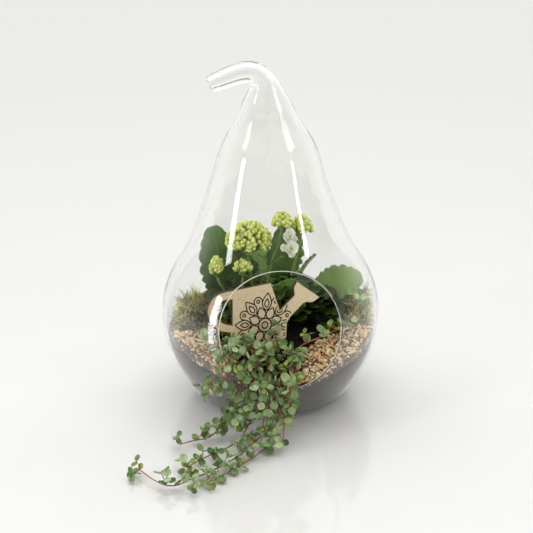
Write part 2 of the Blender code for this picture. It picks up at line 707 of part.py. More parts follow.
def make_head(name, stalk, middle, radii, count, branches, seed):
    """A dome of buds on branched stalks, standing on the end of its flower stalk."""
    line = stalk_line(stalk)
    along = (line[-1] - line[-2]).normalized()
    start = line[-1] + along * TOUCH_GAP
    forks, places = bud_places(middle, radii, count, branches, seed)
    trunk = start + along * 3
    pieces = [tube([start, trunk, trunk + along * 2], STALK_RADIUS * 0.85, 4)]
    for fork in forks:
        pieces.append(tube([trunk, fork, fork + (fork - trunk).normalized() * 1.2], 1.15, 4))
    for spot, way, fork in places:
        pieces.append(bud(fork, spot, way))
    return fused(name, "bud_lime", pieces)


def point_at_height(line, height):
    """Where a rising line passes a height."""
    for low, high in zip(line, line[1:]):
        if low.z <= height <= high.z:
            return low.lerp(high, (height - low.z) / (high.z - low.z))
    return line[-1]


def make_flower(name, height, middle, facing, petal):
    """An open double flower: two layers of petals round a small heart, on a short stalk."""
    middle, facing = Vector(middle), Vector(facing).normalized()
    side = facing.orthogonal().normalized()
    other = facing.cross(side)
    foot = point_at_height(stalk_line("kalanchoe_stalk_right"), height)
    away = Vector((middle.x - foot.x, middle.y - foot.y, 0)).normalized()
    start = foot + away * (STALK_RADIUS + 0.15)
    route = [start, start + away * 2 + UP * 0.8, start.lerp(middle, 0.65) - facing * 1.5, middle - facing * 0.5]
    pieces = [tube(smooth_line(route, 5), 0.9, 4),
              ellipsoid(middle + facing * 0.8, (2.6, 2.6, 2.6), 6, 4)]
    for layer, (count, reach, lift) in enumerate(((5, 1.0, 0.3), (4, 0.75, 1.1))):
        for i in range(count):
            turn = 2 * math.pi * (i + 0.5 * layer) / count
            out = side * math.cos(turn) + other * math.sin(turn)
            heart = middle + facing * 1.3 * layer
            line = [heart + out * 1.6, heart + out * petal * reach * 0.62 + facing * petal * 0.3 * lift,
                    heart + out * petal * reach + facing * petal * 0.55 * lift]
            pieces.append(blade(line, facing, [0.6, petal * 0.36 * reach, petal * 0.28 * reach], 0.8, 1))
    return fused(name, "petal_white", pieces)


# Pilea

def strand_line(number):
    """The middle line of one strand, from its foot in the soil to its tip."""
    root, route = STRANDS[number]
    return smooth_line(planted(*root) + route, LINE_STEP)


def stem_frames(line):
    """The way along, one side and the top of a stem at each point, carried along it without twist."""
    frames, last = [], len(line) - 1
    side = Vector((1, 0, 0))
    for i in range(last + 1):
        along = (line[min(i + 1, last)] - line[max(i - 1, 0)]).normalized()
        side = (side - along * side.dot(along)).normalized()
        frames.append((along, side, along.cross(side)))
    return frames


def hits_disc(point, middle, facing, radius, gap):
    """Whether a point is within a gap of a flat round leaf."""
    away = point - middle
    height = away.dot(facing)
    return abs(height) < gap and (away - facing * height).length < radius + gap


def discs_touch(leaf, other, gap):
    """Whether two round leaves come within about a gap of each other."""
    (middle, facing, radius), (middle_2, facing_2, radius_2) = leaf, other
    if (middle - middle_2).length > radius + radius_2 + gap:
        return False
    crossing = facing.cross(facing_2)
    if crossing.length < 0.15:
        return abs((middle_2 - middle).dot(facing)) < gap + 0.8
    crossing.normalize()
    for spot, normal, reach, far, far_normal, far_reach in (
            (middle, facing, radius, middle_2, facing_2, radius_2),
            (middle_2, facing_2, radius_2, middle, facing, radius)):
        down = normal.cross(crossing)
        step = (far - spot).dot(far_normal) / down.dot(far_normal)
        if abs(step) > reach + gap:
            return False
    on_line = middle + facing.cross(crossing) * ((middle_2 - middle).dot(facing_2)
                                                 / facing.cross(crossing).dot(facing_2))
    away = on_line - middle_2
    off_line = (away - crossing * away.dot(crossing)).length
    half = math.sqrt(max(0.0, (radius + gap) ** 2 - (on_line - middle).length ** 2))
    half_2 = math.sqrt(max(0.0, (radius_2 + gap) ** 2 - off_line ** 2))
    return abs(away.dot(crossing)) < half + half_2


def clear_of_things(point):
    """Whether a leaf's point is clear of the table, the ground, the glass and the plywood can."""
    if point.z < 1.0:
        return False
    outwards = Vector((0, -math.cos(OPENING_TILT), math.sin(OPENING_TILT)))
    from_middle = point - OPENING_CENTRE
    off_axis = (from_middle - outwards * from_middle.dot(outwards)).length
    reach = math.hypot(point.x, point.y)
    middle_of_wall = outer_radius(point.z) - WALL / 2
    if abs(reach - middle_of_wall) < 4.2 and not (off_axis < OPENING_RADIUS - 3 and point.y < 0):
        return False
    if reach < middle_of_wall and point.z < grit_height(point.x, point.y) + GRIT_BUMP + 0.8:
        return False
    flat = can_place().inverted() @ point
    return not (abs(flat.z) < PLY / 2 + 1.2 and -26 < flat.x < 104 and -100 < flat.y < 2)


def leaf_on(line, frames, at, size, side, lift, twist):
    """One round leaf at a distance along a stem: it grows from one of the stem's four faces."""
    step = (line[1] - line[0]).length
    i = min(len(line) - 2, int(at / step))
    along, across, top = frames[i]
    spot = line[i].lerp(line[i + 1], at / step - i)
    face = across * side if lift == 0 else top * lift
    out = (face + along * 0.45).normalized()
    wide = (along - out * along.dot(out)).normalized()
    wide = Matrix.Rotation(twist, 3, out) @ wide
    return {"at": at, "spot": spot, "face": face, "out": out, "wide": wide, "size": size,
            "facing": wide.cross(out), "middle": spot + out * (size + PILEA_STEM * 0.6)}


def near_line(point, line, gap):
    """Whether a point lies within a gap of a line of straight pieces."""
    for low, high in zip(line, line[1:]):
        share = (point - low).dot(high - low) / (high - low).length_squared
        if (low.lerp(high, min(1.0, max(0.0, share))) - point).length < gap:
            return True
    return False


def is_free(leaf, number, lines, placed):
    """Whether a leaf is clear of the surroundings, of every stem and of every leaf placed so far."""
    size, middle, facing = leaf["size"], leaf["middle"], leaf["facing"]
    rim = [middle + (leaf["out"] * math.cos(a) + leaf["wide"] * math.sin(a)) * size
           for a in [math.pi * k / 4 for k in range(-3, 4)]]
    if not all(clear_of_things(p) for p in rim + [middle]):
        return False
    corners = [leaf["spot"] + (leaf["out"] * 1.05 + leaf["wide"] * way) * size for way in (-1, 1)]
    if any(near_line(corner, lines[number], 0.5 * size) for corner in corners):
        return False
    for n, line in enumerate(lines):
        for point in line:
            beside = n == number and (point - leaf["spot"]).length < size + 2.5
            reach, gap = (size * 0.7, 0.9) if beside else (size, 2.4)
            if hits_disc(point, middle, facing, reach, gap):
                return False
    for other in [other for leaves in placed for other in leaves]:
        gap = 0.3 if other["spot"] == leaf["spot"] else 1.0
        if discs_touch((middle, facing, size), (other["middle"], other["facing"], other["size"]), gap):
            return False
    return True


def strand_leaves(lines):
    """Whorls of round leaves along every stem; a leaf that would meet something is left out."""
    draw = random.Random(8)
    placed = [[] for _ in lines]
    for number, line in enumerate(lines):
        frames = stem_frames(line)
        length = (len(line) - 1) * (line[1] - line[0]).length
        joints = max(1, round((length - FIRST_JOINT) / JOINT_PITCH))
        for joint in range(joints + 1):
            share = joint / joints
            at = FIRST_JOINT + (length - 2 - FIRST_JOINT) * share
            if 0 < joint < joints:
                at += draw.uniform(-2.5, 2.5)
            free = JOINT_LEAVES
            for side, lift in ((1, 0), (-1, 0), (0, 1), (0, -1)):
                size = PILEA_LEAF * draw.uniform(0.8, 1.12) * (1 - 0.25 * share ** 4)
                leaf = leaf_on(line, frames, at, size, side, lift, draw.uniform(-0.45, 0.45))
                if free and is_free(leaf, number, lines, placed):
                    placed[number].append(leaf)
                    free -= 1
    return placed


def grow_leaf(vertices, faces, ring, after, leaf):
    """Draws one face of a square stem out into a leaf, between the rings before and after it."""
    spot, out, wide, size = leaf["spot"], leaf["out"], leaf["wide"], leaf["size"]
    best = max(range(4), key=lambda s: (vertices[ring + s] + vertices[ring + (s + 1) % 4]
                                        - spot * 2).dot(leaf["face"]))
    corners = [ring + best, ring + (best + 1) % 4, after + (best + 1) % 4, after + best]
    lengthwise = [-1, -1, 1, 1]
    turned = 1 if (vertices[corners[1]] - vertices[corners[0]]).dot(leaf["facing"]) > 0 else -1
    level = [-turned, turned, turned, -turned]
    row = corners
    for reach, half, rise in ((size * 1.05, size, 0.5), (size * 2.05, size * 0.55, 0.0)):
        fresh = []
        for along, up in zip(lengthwise, level):
            vertices.append(spot + out * reach + wide * (half * along)
                            + leaf["facing"] * (rise + up * PILEA_THICK / 2))
            fresh.append(len(vertices) - 1)
        for i in range(4):
            j = (i + 1) % 4
            if lengthwise[i] <= lengthwise[j]:
                faces += [(row[i], row[j], fresh[j]), (row[i], fresh[j], fresh[i])]
            else:
                faces += [(row[i], row[j], fresh[i]), (row[j], fresh[j], fresh[i])]
        row = fresh
    faces.append(tuple(row))
    return best


def make_strand(number, line, leaves):
    """A square stem whose faces are drawn out into its leaves."""
    frames = stem_frames(line)
    step = (line[1] - line[0]).length
    last = len(line) - 1
    length = last * step
    joints = sorted({leaf["at"] for leaf in leaves})
    stops = [0.0, PLANT_DEPTH, 2 * PLANT_DEPTH, length]
    stops += [at + side for at in joints for side in (-JOINT_HALF, JOINT_HALF)]
    marks = [2 * PLANT_DEPTH] + joints + [length]
    for low, high in zip(marks, marks[1:]):
        parts = max(1, round((high - low) / STEM_PIECE))
        stops += [low + (high - low) * k / parts for k in range(1, parts)]
    stops.sort()
    vertices, faces = [], []
    for at in stops:
        i = min(last - 1, int(at / step))
        point = line[i].lerp(line[i + 1], at / step - i)
        _, side, top = frames[i]
        half = PILEA_STEM * (1 - 0.3 * at / length) * math.sqrt(0.5)
        for a, b in ((1, 1), (-1, 1), (-1, -1), (1, -1)):
            vertices.append(point + side * (half * a) + top * (half * b))
    for n, at in enumerate(stops[:-1]):
        ring, after = 4 * n, 4 * n + 4
        here = [leaf for leaf in leaves if at < leaf["at"] < stops[n + 1]]
        grown = [grow_leaf(vertices, faces, ring, after, leaf) for leaf in here]
        for s in range(4):
            t = (s + 1) % 4
            if s not in grown:
                faces += [(ring + s, ring + t, after + t), (ring + s, after + t, after + s)]
    end = 4 * (len(stops) - 1)
    faces += [(3, 2, 1, 0), (end, end + 1, end + 2, end + 3)]
    add_object("pilea_strand_%02d" % (number + 1), (vertices, faces), "pilea_green")


def main():
    for thing in list(bpy.data.objects):
        bpy.data.objects.remove(thing)
    lines = [strand_line(number) for number in range(len(STRANDS))]
    make_glass()
    holes = [stem_hole(*root, PILEA_STEM + 1.0) for root, _ in STRANDS]
    holes += [stem_hole(*leaf[0], PETIOLE_RADIUS + 1.0) for leaf in LEAVES.values()]
    holes += [stem_hole(*points[0], STALK_RADIUS + 1.0) for points, _, _ in STALKS.values()]
    make_soil(holes + [can_slot()])
    make_grit()
    for name, lumps in MOSS.items():
        make_moss(name, lumps)
    make_can()
    for name, values in LEAVES.items():
        make_leaf(name, *values)
    for name in STALKS:
        make_stalk(name)
    for name, values in HEADS.items():
        make_head(name, *values)
    for name, values in FLOWERS.items():
        make_flower(name, *values)
    for number, leaves in enumerate(strand_leaves(lines)):
        make_strand(number, lines[number], leaves)


main()
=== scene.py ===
# %% [markdown]
# # A planted glass pear
#
# The object is a blown glass pear, about 36 cm high, with a round opening in its belly. Inside are
# soil, beige grit, two tufts of moss, a kalanchoe in bud, a plywood watering can and a small-leaved
# trailing plant that hangs out of the opening and lies on the table.
#
# The solids were modelled and packed before. This script loads them as a fixed frame and dresses them:
# each cell makes one piece or one finish and says why it is made that way. Lengths are in millimetres
# and become metres only when a mesh is made. Only the stage, at the end, is set out in metres.

# %% Load the frame
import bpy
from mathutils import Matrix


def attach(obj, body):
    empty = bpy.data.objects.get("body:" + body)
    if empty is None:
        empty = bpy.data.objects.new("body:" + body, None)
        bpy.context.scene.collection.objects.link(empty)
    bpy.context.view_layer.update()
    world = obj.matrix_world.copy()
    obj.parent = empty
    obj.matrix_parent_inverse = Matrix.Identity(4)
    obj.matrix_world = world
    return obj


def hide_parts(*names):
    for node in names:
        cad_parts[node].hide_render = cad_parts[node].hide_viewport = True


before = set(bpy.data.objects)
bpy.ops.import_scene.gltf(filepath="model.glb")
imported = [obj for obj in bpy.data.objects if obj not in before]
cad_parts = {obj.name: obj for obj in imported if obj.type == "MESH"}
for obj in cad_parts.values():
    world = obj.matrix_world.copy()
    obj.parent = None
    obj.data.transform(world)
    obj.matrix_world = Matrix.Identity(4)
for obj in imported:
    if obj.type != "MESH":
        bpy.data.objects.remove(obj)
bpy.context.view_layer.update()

# %% Modules
import math
import random

import bmesh
import bpy
from mathutils import Matrix, Vector, noise
from mathutils.geometry import tessellate_polygon

# %% [markdown]
# ## Tools for meshes
#
# Almost everything here is a thin sheet (leaves, petals), a round shoot (stems, stalks) or a small lump
# (grains, buds). The first two have one maker each, and a lump is built where it is needed. All of them
# collect their corners in a `Pile`, and the pile becomes one mesh at the end, which is much faster than
# joining hundreds of objects.
#
# Every corner also carries a `place`: how far along the leaf or bud it is, how far across, and a number
# that belongs to that one leaf, grain or bud. The finishes read it to draw veins and to give each grain
# its own colour, without any picture.

# %% Piles of corners and faces
MM = 0.001
UP = Vector((0, 0, 1))


class Pile:
    """Corners in millimetres, faces and places of one piece, before Blender makes the mesh."""

    def __init__(self):
        self.corners = []
        self.faces = []
        self.places = []
        self.kinds = []

    def add(self, corners, faces, places, kind=0):
        first = len(self.corners)
        self.corners += corners
        self.places += places
        self.faces += [tuple(first + c for c in face) for face in faces]
        self.kinds += [kind] * len(faces)


def make_piece(name, pile, finishes, nodes=(), smooth=True):
    """Makes the mesh object, hangs it on the frame's one body and hides the CAD nodes it stands for."""
    mesh = bpy.data.meshes.new(name)
    mesh.from_pydata([tuple(Vector(c) * MM) for c in pile.corners], [], pile.faces)
    for finish in finishes:
        mesh.materials.append(finish)
    mesh.polygons.foreach_set("material_index", pile.kinds)
    mesh.polygons.foreach_set("use_smooth", [smooth] * len(mesh.polygons))
    place = mesh.attributes.new("place", "FLOAT_VECTOR", "POINT")
    place.data.foreach_set("vector", [number for triple in pile.places for number in triple])
    mesh.update()
    piece = bpy.data.objects.new(name, mesh)
    bpy.context.scene.collection.objects.link(piece)
    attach(piece, "root")
    if nodes:
        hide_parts(*nodes)
    print("made", name, "with", len(mesh.polygons), "faces")
    return piece


# %% Rings, directions and chance
def turns_of(sides):
    """The angles of evenly spaced spokes."""
    return [2 * math.pi * s / sides for s in range(sides)]


def closed_tube(rings, sides):
    """Faces of a tube whose corners come ring by ring, with a flat face at each end."""
    faces = []
    for i in range(rings - 1):
        for s in range(sides):
            a, b = i * sides + s, i * sides + (s + 1) % sides
            faces.append((a, b, b + sides, a + sides))
    last = (rings - 1) * sides
    return faces + [tuple(reversed(range(sides))), tuple(range(last, last + sides))]


def dome_way(lift, turn):
    """A direction that leans by lift from straight up, towards turn."""
    return Vector((math.sin(lift) * math.cos(turn), math.sin(lift) * math.sin(turn), math.cos(lift)))


def square_to(way):
    """Two directions that are square to a way and to each other."""
    side = way.orthogonal().normalized()
    return side, way.cross(side)


def stray(draw, reach):
    """A random vector of up to reach either way along each axis."""
    return Vector([draw.uniform(-reach, reach) for _ in range(3)])


# %% Smooth lines
SPAN_PARTS = 12
TINY = 1e-9


def smooth_line(points, step):
    """A Catmull-Rom curve through the points, read at even steps along its length.

    A point may hold more than three numbers. Its first three count for the length.
    """
    points = [Vector(p) for p in points]
    ends = [points[0] * 2 - points[1]] + points + [points[-1] * 2 - points[-2]]
    fine = []
    for a, b, c, d in zip(ends, ends[1:], ends[2:], ends[3:]):
        for i in range(SPAN_PARTS):
            t = i / SPAN_PARTS
            fine.append(0.5 * (2 * b + (c - a) * t + (2 * a - 5 * b + 4 * c - d) * t * t
                               + (3 * b - a - 3 * c + d) * t ** 3))
    fine.append(points[-1])
    lengths = [0.0]
    for a, b in zip(fine, fine[1:]):
        lengths.append(lengths[-1] + (b.to_3d() - a.to_3d()).length)
    count = max(2, round(lengths[-1] / step))
    line, i = [], 0
    for k in range(count + 1):
        want = lengths[-1] * k / count
        while i < len(fine) - 2 and lengths[i + 1] < want:
            i += 1
        share = (want - lengths[i]) / max(TINY, lengths[i + 1] - lengths[i])
        line.append(fine[i].lerp(fine[i + 1], min(1.0, share)))
    return line


def between(table, at):
    """Straight interpolation in a table of (position, value) pairs."""
    for (a, low), (b, high) in zip(table, table[1:]):
        if at <= b:
            return low + (high - low) * max(0.0, (at - a) / (b - a))
    return table[-1][1]


def smooth_step(t):
    """A share from 0 to 1 that starts and ends softly."""
    t = min(1.0, max(0.0, t))
    return t * t * (3 - 2 * t)


# %% Round shoots
def shoot(pile, line, radii, sides, number=0.0, kind=0):
    """A closed round shoot along a line, with a radius for each point or one for them all."""
    if isinstance(radii, float):
        radii = [radii] * len(line)
    corners, places = [], []
    last = len(line) - 1
    across = None
    for i, point in enumerate(line):
        along = (line[min(i + 1, last)] - line[max(i - 1, 0)]).normalized()
        if across is None:
            across = along.orthogonal()
        across = (across - along * across.dot(along)).normalized()
        other = along.cross(across)
        for s, turn in enumerate(turns_of(sides)):
            corners.append(point + (across * math.cos(turn) + other * math.sin(turn)) * radii[i])
            places.append((i / last, s / sides, number))
    pile.add(corners, closed_tube(len(line), sides), places, kind)


def tapered(line, radius, loss):
    """Radii that shrink along a line by a share of the first one."""
    return [radius * (1 - loss * k / len(line)) for k in range(len(line))]


# %% Thin sheets
EDGE_SHARE = 0.45


def sheet(pile, grid, thickness, number=0.0, kind=0):
    """A closed thin sheet over a grid of middle points, thinner at its edge."""
    rows, columns = len(grid), len(grid[0])
    top, bottom, places = [], [], []
    for k in range(rows):
        for j in range(columns):
            along = grid[min(k + 1, rows - 1)][j] - grid[max(k - 1, 0)][j]
            across = grid[k][min(j + 1, columns - 1)] - grid[k][max(j - 1, 0)]
            normal = across.cross(along).normalized()
            edge = k in (0, rows - 1) or j in (0, columns - 1)
            half = thickness / 2 * (EDGE_SHARE if edge else 1)
            top.append(grid[k][j] + normal * half)
            bottom.append(grid[k][j] - normal * half)
            places.append((k / (rows - 1), 2 * j / (columns - 1) - 1, number))
    count = rows * columns
    faces = []
    for k in range(rows - 1):
        for j in range(columns - 1):
            a = k * columns + j
            b, c, d = a + 1, a + columns + 1, a + columns
            faces.append((a, b, c, d))
            faces.append((a + count, d + count, c + count, b + count))
    rim = list(range(columns)) + [k * columns + columns - 1 for k in range(1, rows)]
    rim += [(rows - 1) * columns + j for j in reversed(range(columns - 1))]
    rim += [k * columns for k in reversed(range(1, rows - 1))]
    for p, q in zip(rim, rim[1:] + rim[:1]):
        faces.append((q, p, p + count, q + count))
    pile.add(top + bottom, faces, places + places, kind)


# %% [markdown]
# ## Tools for finishes
#
# A finish is a Principled shader fed by noise, ramps and the `place` of each corner. A number that is the
# same all over is set on the shader's own socket. The helpers below only save typing: most of them add one
# node and return the socket that the next one needs.

# %% Nodes for finishes
def new_finish(name, roughness, colour=(0.8, 0.8, 0.8), **sockets):
    """A material with its Principled shader; returns both."""
    finish = bpy.data.materials.new(name)
    finish.use_nodes = True
    shader = finish.node_tree.nodes["Principled BSDF"]
    shader.inputs["Base Color"].default_value = (*colour, 1)
    shader.inputs["Roughness"].default_value = roughness
    for socket, value in sockets.items():
        shader.inputs[socket.replace("_", " ")].default_value = value
    return finish, shader


def add_node(finish, kind, **settings):
    """A new node of a kind, with its settings; finish may also be the room."""
    made = finish.node_tree.nodes.new(kind)
    for setting, value in settings.items():
        setattr(made, setting, value)
    return made


def join(finish, output, socket):
    """A link from one node's output to the next one's socket."""
    finish.node_tree.links.new(output, socket)


def feed(finish, socket, value):
    """Joins a socket to another one, or sets it to a colour or a number."""
    if isinstance(value, bpy.types.NodeSocket):
        join(finish, value, socket)
    else:
        socket.default_value = (*value, 1) if isinstance(value, tuple) else value


# %% Positions and noise
def where(finish):
    """The corner's position on the object, in metres."""
    return add_node(finish, "ShaderNodeTexCoord").outputs["Object"]


def parts_of(finish, vector):
    """The three numbers of a vector, each as a socket."""
    apart = add_node(finish, "ShaderNodeSeparateXYZ")
    join(finish, vector, apart.inputs[0])
    return apart.outputs["X"], apart.outputs["Y"], apart.outputs["Z"]


def place_of(finish):
    """The three numbers that every corner carries: along, across, and its own leaf's number."""
    return parts_of(finish, add_node(finish, "ShaderNodeAttribute", attribute_name="place").outputs["Vector"])


def grain_of(finish, size_mm, detail=3.0, roughness=0.6):
    """Noise whose lumps are about size_mm across."""
    made = add_node(finish, "ShaderNodeTexNoise")
    made.inputs["Scale"].default_value = 1000 / size_mm
    made.inputs["Detail"].default_value = detail
    made.inputs["Roughness"].default_value = roughness
    join(finish, where(finish), made.inputs["Vector"])
    return made.outputs["Fac"]


# %% Colours and sums
def ramp(finish, value, stops):
    """Colours at positions from 0 to 1."""
    made = add_node(finish, "ShaderNodeValToRGB")
    band = made.color_ramp
    while len(band.elements) < len(stops):
        band.elements.new(1.0)
    for element, (position, colour) in zip(band.elements, stops):
        element.position = position
        element.color = (*colour, 1)
    join(finish, value, made.inputs["Fac"])
    return made.outputs["Color"]


def blend(finish, share, first, second, mode="MIX"):
    """Two colours mixed by a share, which is a number or a socket."""
    made = add_node(finish, "ShaderNodeMix", data_type="RGBA", blend_type=mode)
    for socket, value in ((made.inputs[0], share), (made.inputs[6], first), (made.inputs[7], second)):
        feed(finish, socket, value)
    return made.outputs[2]


def calc(finish, operation, *values):
    """One step of arithmetic on sockets and numbers."""
    made = add_node(finish, "ShaderNodeMath", operation=operation)
    for socket, value in zip(made.inputs, values):
        feed(finish, socket, value)
    return made.outputs[0]


# %% Relief and the whole finish
def bump(finish, shader, height, depth_mm, strength=0.6):
    """Lifts the surface by a height from 0 to 1, depth_mm deep."""
    made = add_node(finish, "ShaderNodeBump")
    made.inputs["Strength"].default_value = strength
    made.inputs["Distance"].default_value = depth_mm * MM
    join(finish, height, made.inputs["Height"])
    join(finish, made.outputs["Normal"], shader.inputs["Normal"])


def complete(finish, shader, colour, grain_mm, depth_mm, strength):
    """Paints the shader, gives it a fine relief and returns the finish."""
    join(finish, colour, shader.inputs["Base Color"])
    bump(finish, shader, grain_of(finish, grain_mm), depth_mm, strength)
    return finish


# %% [markdown]
# ## The glass pear
#
# The real pear is blown in one gather: a skin a little under 3 mm thick, drawn out at the top into a bent
# hollow stem, with the opening cut in the belly and its edge melted round. A Boolean cut would leave long
# faces along the edge that show up in glass. So the skin is a grid of rings, the faces inside the opening
# are left out, the corners along the gap slide onto the true circle, and the outer and inner edges are
# joined by a half-round bead, just as a flame leaves it.

# %% The pear's profile
WALL = 2.7
STEM_WALL = 4.4
STEM_LEAN = 0.02
BASE = 5.0
FLOOR_RADIUS = 70
FOOT_TOP = 12
PEAR_OUTLINE = [(0, 62), (4, 76), (12, 85.5), (24, 94), (40, 103), (58, 110.8), (78, 114.3),
                (98, 114.9), (118, 112.8), (138, 105.1), (158, 93.6), (178, 82.5), (198, 74.7),
                (218, 67.3), (240, 60.1), (260, 53.8), (280, 46.9), (298, 34.9), (312, 28.4)]
NECK_SWAY = [(0, 0), (150, 0), (180, -0.8), (200, -1.3), (240, -2.2), (285, -1.9), (298, -2.7), (312, -3)]
STEM_RINGS = [(-5.7, 324.4, 22.6), (-5.9, 334.7, 17.2), (-9.4, 344.5, 13.2), (-16.4, 350.7, 11.2),
              (-25.4, 351.9, 10.7), (-35.4, 349.3, 10.3), (-47.5, 344.9, 9.8), (-59.5, 340.4, 8.8)]
RING_STEP = 3.2
SIDES = 192
EVENINGS = 14
STEM_EVENINGS = 4
STILL_BELOW = 20


def pear_rings():
    """Fine rings from the foot to the tip: middle x, radius, middle z and lean.

    The neck is blown by hand, so it sways a little to one side.
    """
    rings = [(between(NECK_SWAY, height), radius, height, 0) for height, radius in PEAR_OUTLINE]
    middles = [(NECK_SWAY[-1][1], PEAR_OUTLINE[-1][0])] + [(x, z) for x, z, _ in STEM_RINGS]
    for i, (x, z, radius) in enumerate(STEM_RINGS, start=1):
        before, after = middles[i - 1], middles[min(i + 1, len(middles) - 1)]
        lean = math.atan2(before[0] - after[0], after[1] - before[1])
        rings.append((x, radius, z, lean))
    return smooth_line(rings, RING_STEP)


def evened(rings):
    """The rings with their bends spread out, because glass shows every kink as a ripple.

    The foot keeps its shape, and the stem is evened only a few times, so that it stays sharply bent.
    """
    for turn in range(EVENINGS):
        softer = [rings[0]]
        for before, ring, after in zip(rings, rings[1:], rings[2:]):
            still = ring[2] < STILL_BELOW or (ring[3] > STEM_LEAN and turn >= STEM_EVENINGS)
            softer.append(ring if still else (before + ring * 2 + after) / 4)
        rings = softer + [rings[-1]]
    return rings


RINGS = evened(pear_rings())
PROFILE = [(ring[2], ring[1]) for ring in RINGS if ring[3] < STEM_LEAN]


def outer_radius(height):
    """The radius of the pear's outer skin at a height."""
    return between(PROFILE, height)


def inner_radius(height):
    """The radius of its inner skin; the floor inside is narrower than the foot."""
    if height < FOOT_TOP:
        return between([(BASE, FLOOR_RADIUS), (FOOT_TOP, outer_radius(FOOT_TOP) - WALL)], height)
    return outer_radius(height) - WALL


print("glass: %d rings of %d corners" % (len(RINGS), SIDES))

# %% The opening
OPENING_CENTRE = Vector((0, -95.7, 108.9))
OPENING_RADIUS = 62.6
OPENING_TILT = math.radians(10)
OPENING_OUT = Vector((0, -math.cos(OPENING_TILT), math.sin(OPENING_TILT)))
OPENING_UP = Vector((0, math.sin(OPENING_TILT), math.cos(OPENING_TILT)))
OPENING_SIDE = Vector((1, 0, 0))
EDGE_SEARCH = 45.0
EDGE_ROUNDS = 30


def off_axis(point):
    """How far a point is from the middle line of the opening."""
    away = point - OPENING_CENTRE
    return (away - OPENING_OUT * away.dot(OPENING_OUT)).length


def on_edge(angle, radius_at):
    """The point of the opening's edge at an angle round it, on the outer or the inner skin."""
    way = OPENING_SIDE * math.cos(angle) + OPENING_UP * math.sin(angle)
    start = OPENING_CENTRE + way * OPENING_RADIUS
    inside, outside = -EDGE_SEARCH, EDGE_SEARCH
    for _ in range(EDGE_ROUNDS):
        middle = (inside + outside) / 2
        point = start + OPENING_OUT * middle
        if math.hypot(point.x - between(NECK_SWAY, point.z), point.y) < radius_at(point.z):
            inside = middle
        else:
            outside = middle
    return start + OPENING_OUT * inside, way


def ring_points(x, radius, z, lean):
    """The corners of one ring of the pear or its stem."""
    across = Vector((math.cos(lean), 0, math.sin(lean)))
    return [Vector((x, 0, z)) + across * (radius * math.cos(turn)) + Vector((0, radius * math.sin(turn), 0))
            for turn in turns_of(SIDES)]


def edge_loop(gone, rows):
    """The corners round the gap in order, and an evened-out angle for each."""
    follows = {}
    for i, s in gone:
        t = (s + 1) % SIDES
        for a, b, beyond in (((i, s), (i, t), (i - 1, s)),
                             ((i, t), (i + 1, t), (i, t)),
                             ((i + 1, t), (i + 1, s), (i + 1, s)),
                             ((i + 1, s), (i, s), (i, (s - 1) % SIDES))):
            if beyond not in gone:
                follows[a] = b
    loop = [next(iter(follows))]
    while follows[loop[-1]] != loop[0]:
        loop.append(follows[loop[-1]])
    angles = []
    for i, s in loop:
        away = rows[i][s] - OPENING_CENTRE
        angle = math.atan2(away.dot(OPENING_UP), away.dot(OPENING_SIDE))
        while angles and angle - angles[-1] > math.pi:
            angle -= 2 * math.pi
        while angles and angle - angles[-1] < -math.pi:
            angle += 2 * math.pi
        angles.append(angle)
    whole = 2 * math.pi if angles[-1] > angles[0] else -2 * math.pi
    for _ in range(EDGE_ROUNDS):
        before = [angles[-1] - whole] + angles[:-1]
        after = angles[1:] + [angles[0] + whole]
        angles = [0.5 * angle + 0.25 * (a + b) for angle, a, b in zip(angles, before, after)]
    return loop, angles


# %% A pile for the glass
BEAD_STEPS = 7
# Bead steps that form the milky band of painted piped light.
PIPED_LIGHT_STEPS = (2, 3, 4)
FOOT_SHARES = (0.85, 0.55, 0.25)


class GlassPile(Pile):
    """A pile whose corners have keys, so that the faces that meet at one share it."""

    def __init__(self):
        super().__init__()
        self.index = {}

    def corner(self, key, point=None):
        """The number of the corner with this key. The point is needed when the key is new."""
        if key not in self.index:
            self.index[key] = len(self.corners)
            self.corners.append(point)
            self.places.append((0, 0, 0))
        return self.index[key]

    def face(self, corners, kind=0):
        self.faces.append(tuple(corners))
        self.kinds.append(kind)

    def skins(self, outer, inner, gone):
        """One outer and one inner face for each cell of the grid, except in the opening."""
        for i in range(len(outer) - 1):
            for s in range(SIDES):
                t = (s + 1) % SIDES
                cell = ((i, s), (i, t), (i + 1, t), (i + 1, s))
                if cell[0] not in gone:
                    self.face(self.corner(("out", a, b), outer[a][b]) for a, b in cell)
                    self.face(self.corner(("in", a, b), inner[a][b]) for a, b in (cell[0], *cell[:0:-1]))

    def bead(self, spots, arcs, outward, piped_light_band=()):
        """A half-round strip from the outer to the inner skin, along the opening or the stem's end."""
        strips = []
        for spot, arc in zip(spots, arcs):
            strips.append([self.corner(("out", *spot))]
                          + [self.corner(("bead", *spot, n), point) for n, point in enumerate(arc)]
                          + [self.corner(("in", *spot))])
        for left, right in zip(strips, strips[1:] + strips[:1]):
            for n in range(BEAD_STEPS):
                face = (left[n], left[n + 1], right[n + 1], right[n])
                # Faces in the band get the second finish, whose milky white is painted light piped along the
                # glass wall.
                self.face((face[0], *face[:0:-1]) if outward else face, int(n in piped_light_band))

    def foot(self, skin, edge, height):
        """The flat disc under the pear, or the floor inside it, as rings round a middle corner."""
        rows = [[self.corner((skin, 0, s)) for s in range(SIDES)]]
        for n, share in enumerate(FOOT_SHARES):
            rows.append([self.corner((skin, "disc", n, s), Vector((p.x * share, p.y * share, height)))
                         for s, p in enumerate(edge)])
        middle = self.corner((skin, "middle"), Vector((0, 0, height)))
        order = 1 if skin == "out" else -1
        for high, low in zip(rows, rows[1:]):
            for s in range(SIDES):
                t = (s + 1) % SIDES
                self.face((high[s], low[s], low[t], high[t])[::order])
        for s in range(SIDES):
            self.face((rows[-1][s], middle, rows[-1][(s + 1) % SIDES])[::order])


# %% Glass mesh
STEM_THICK_LEAN = 0.9


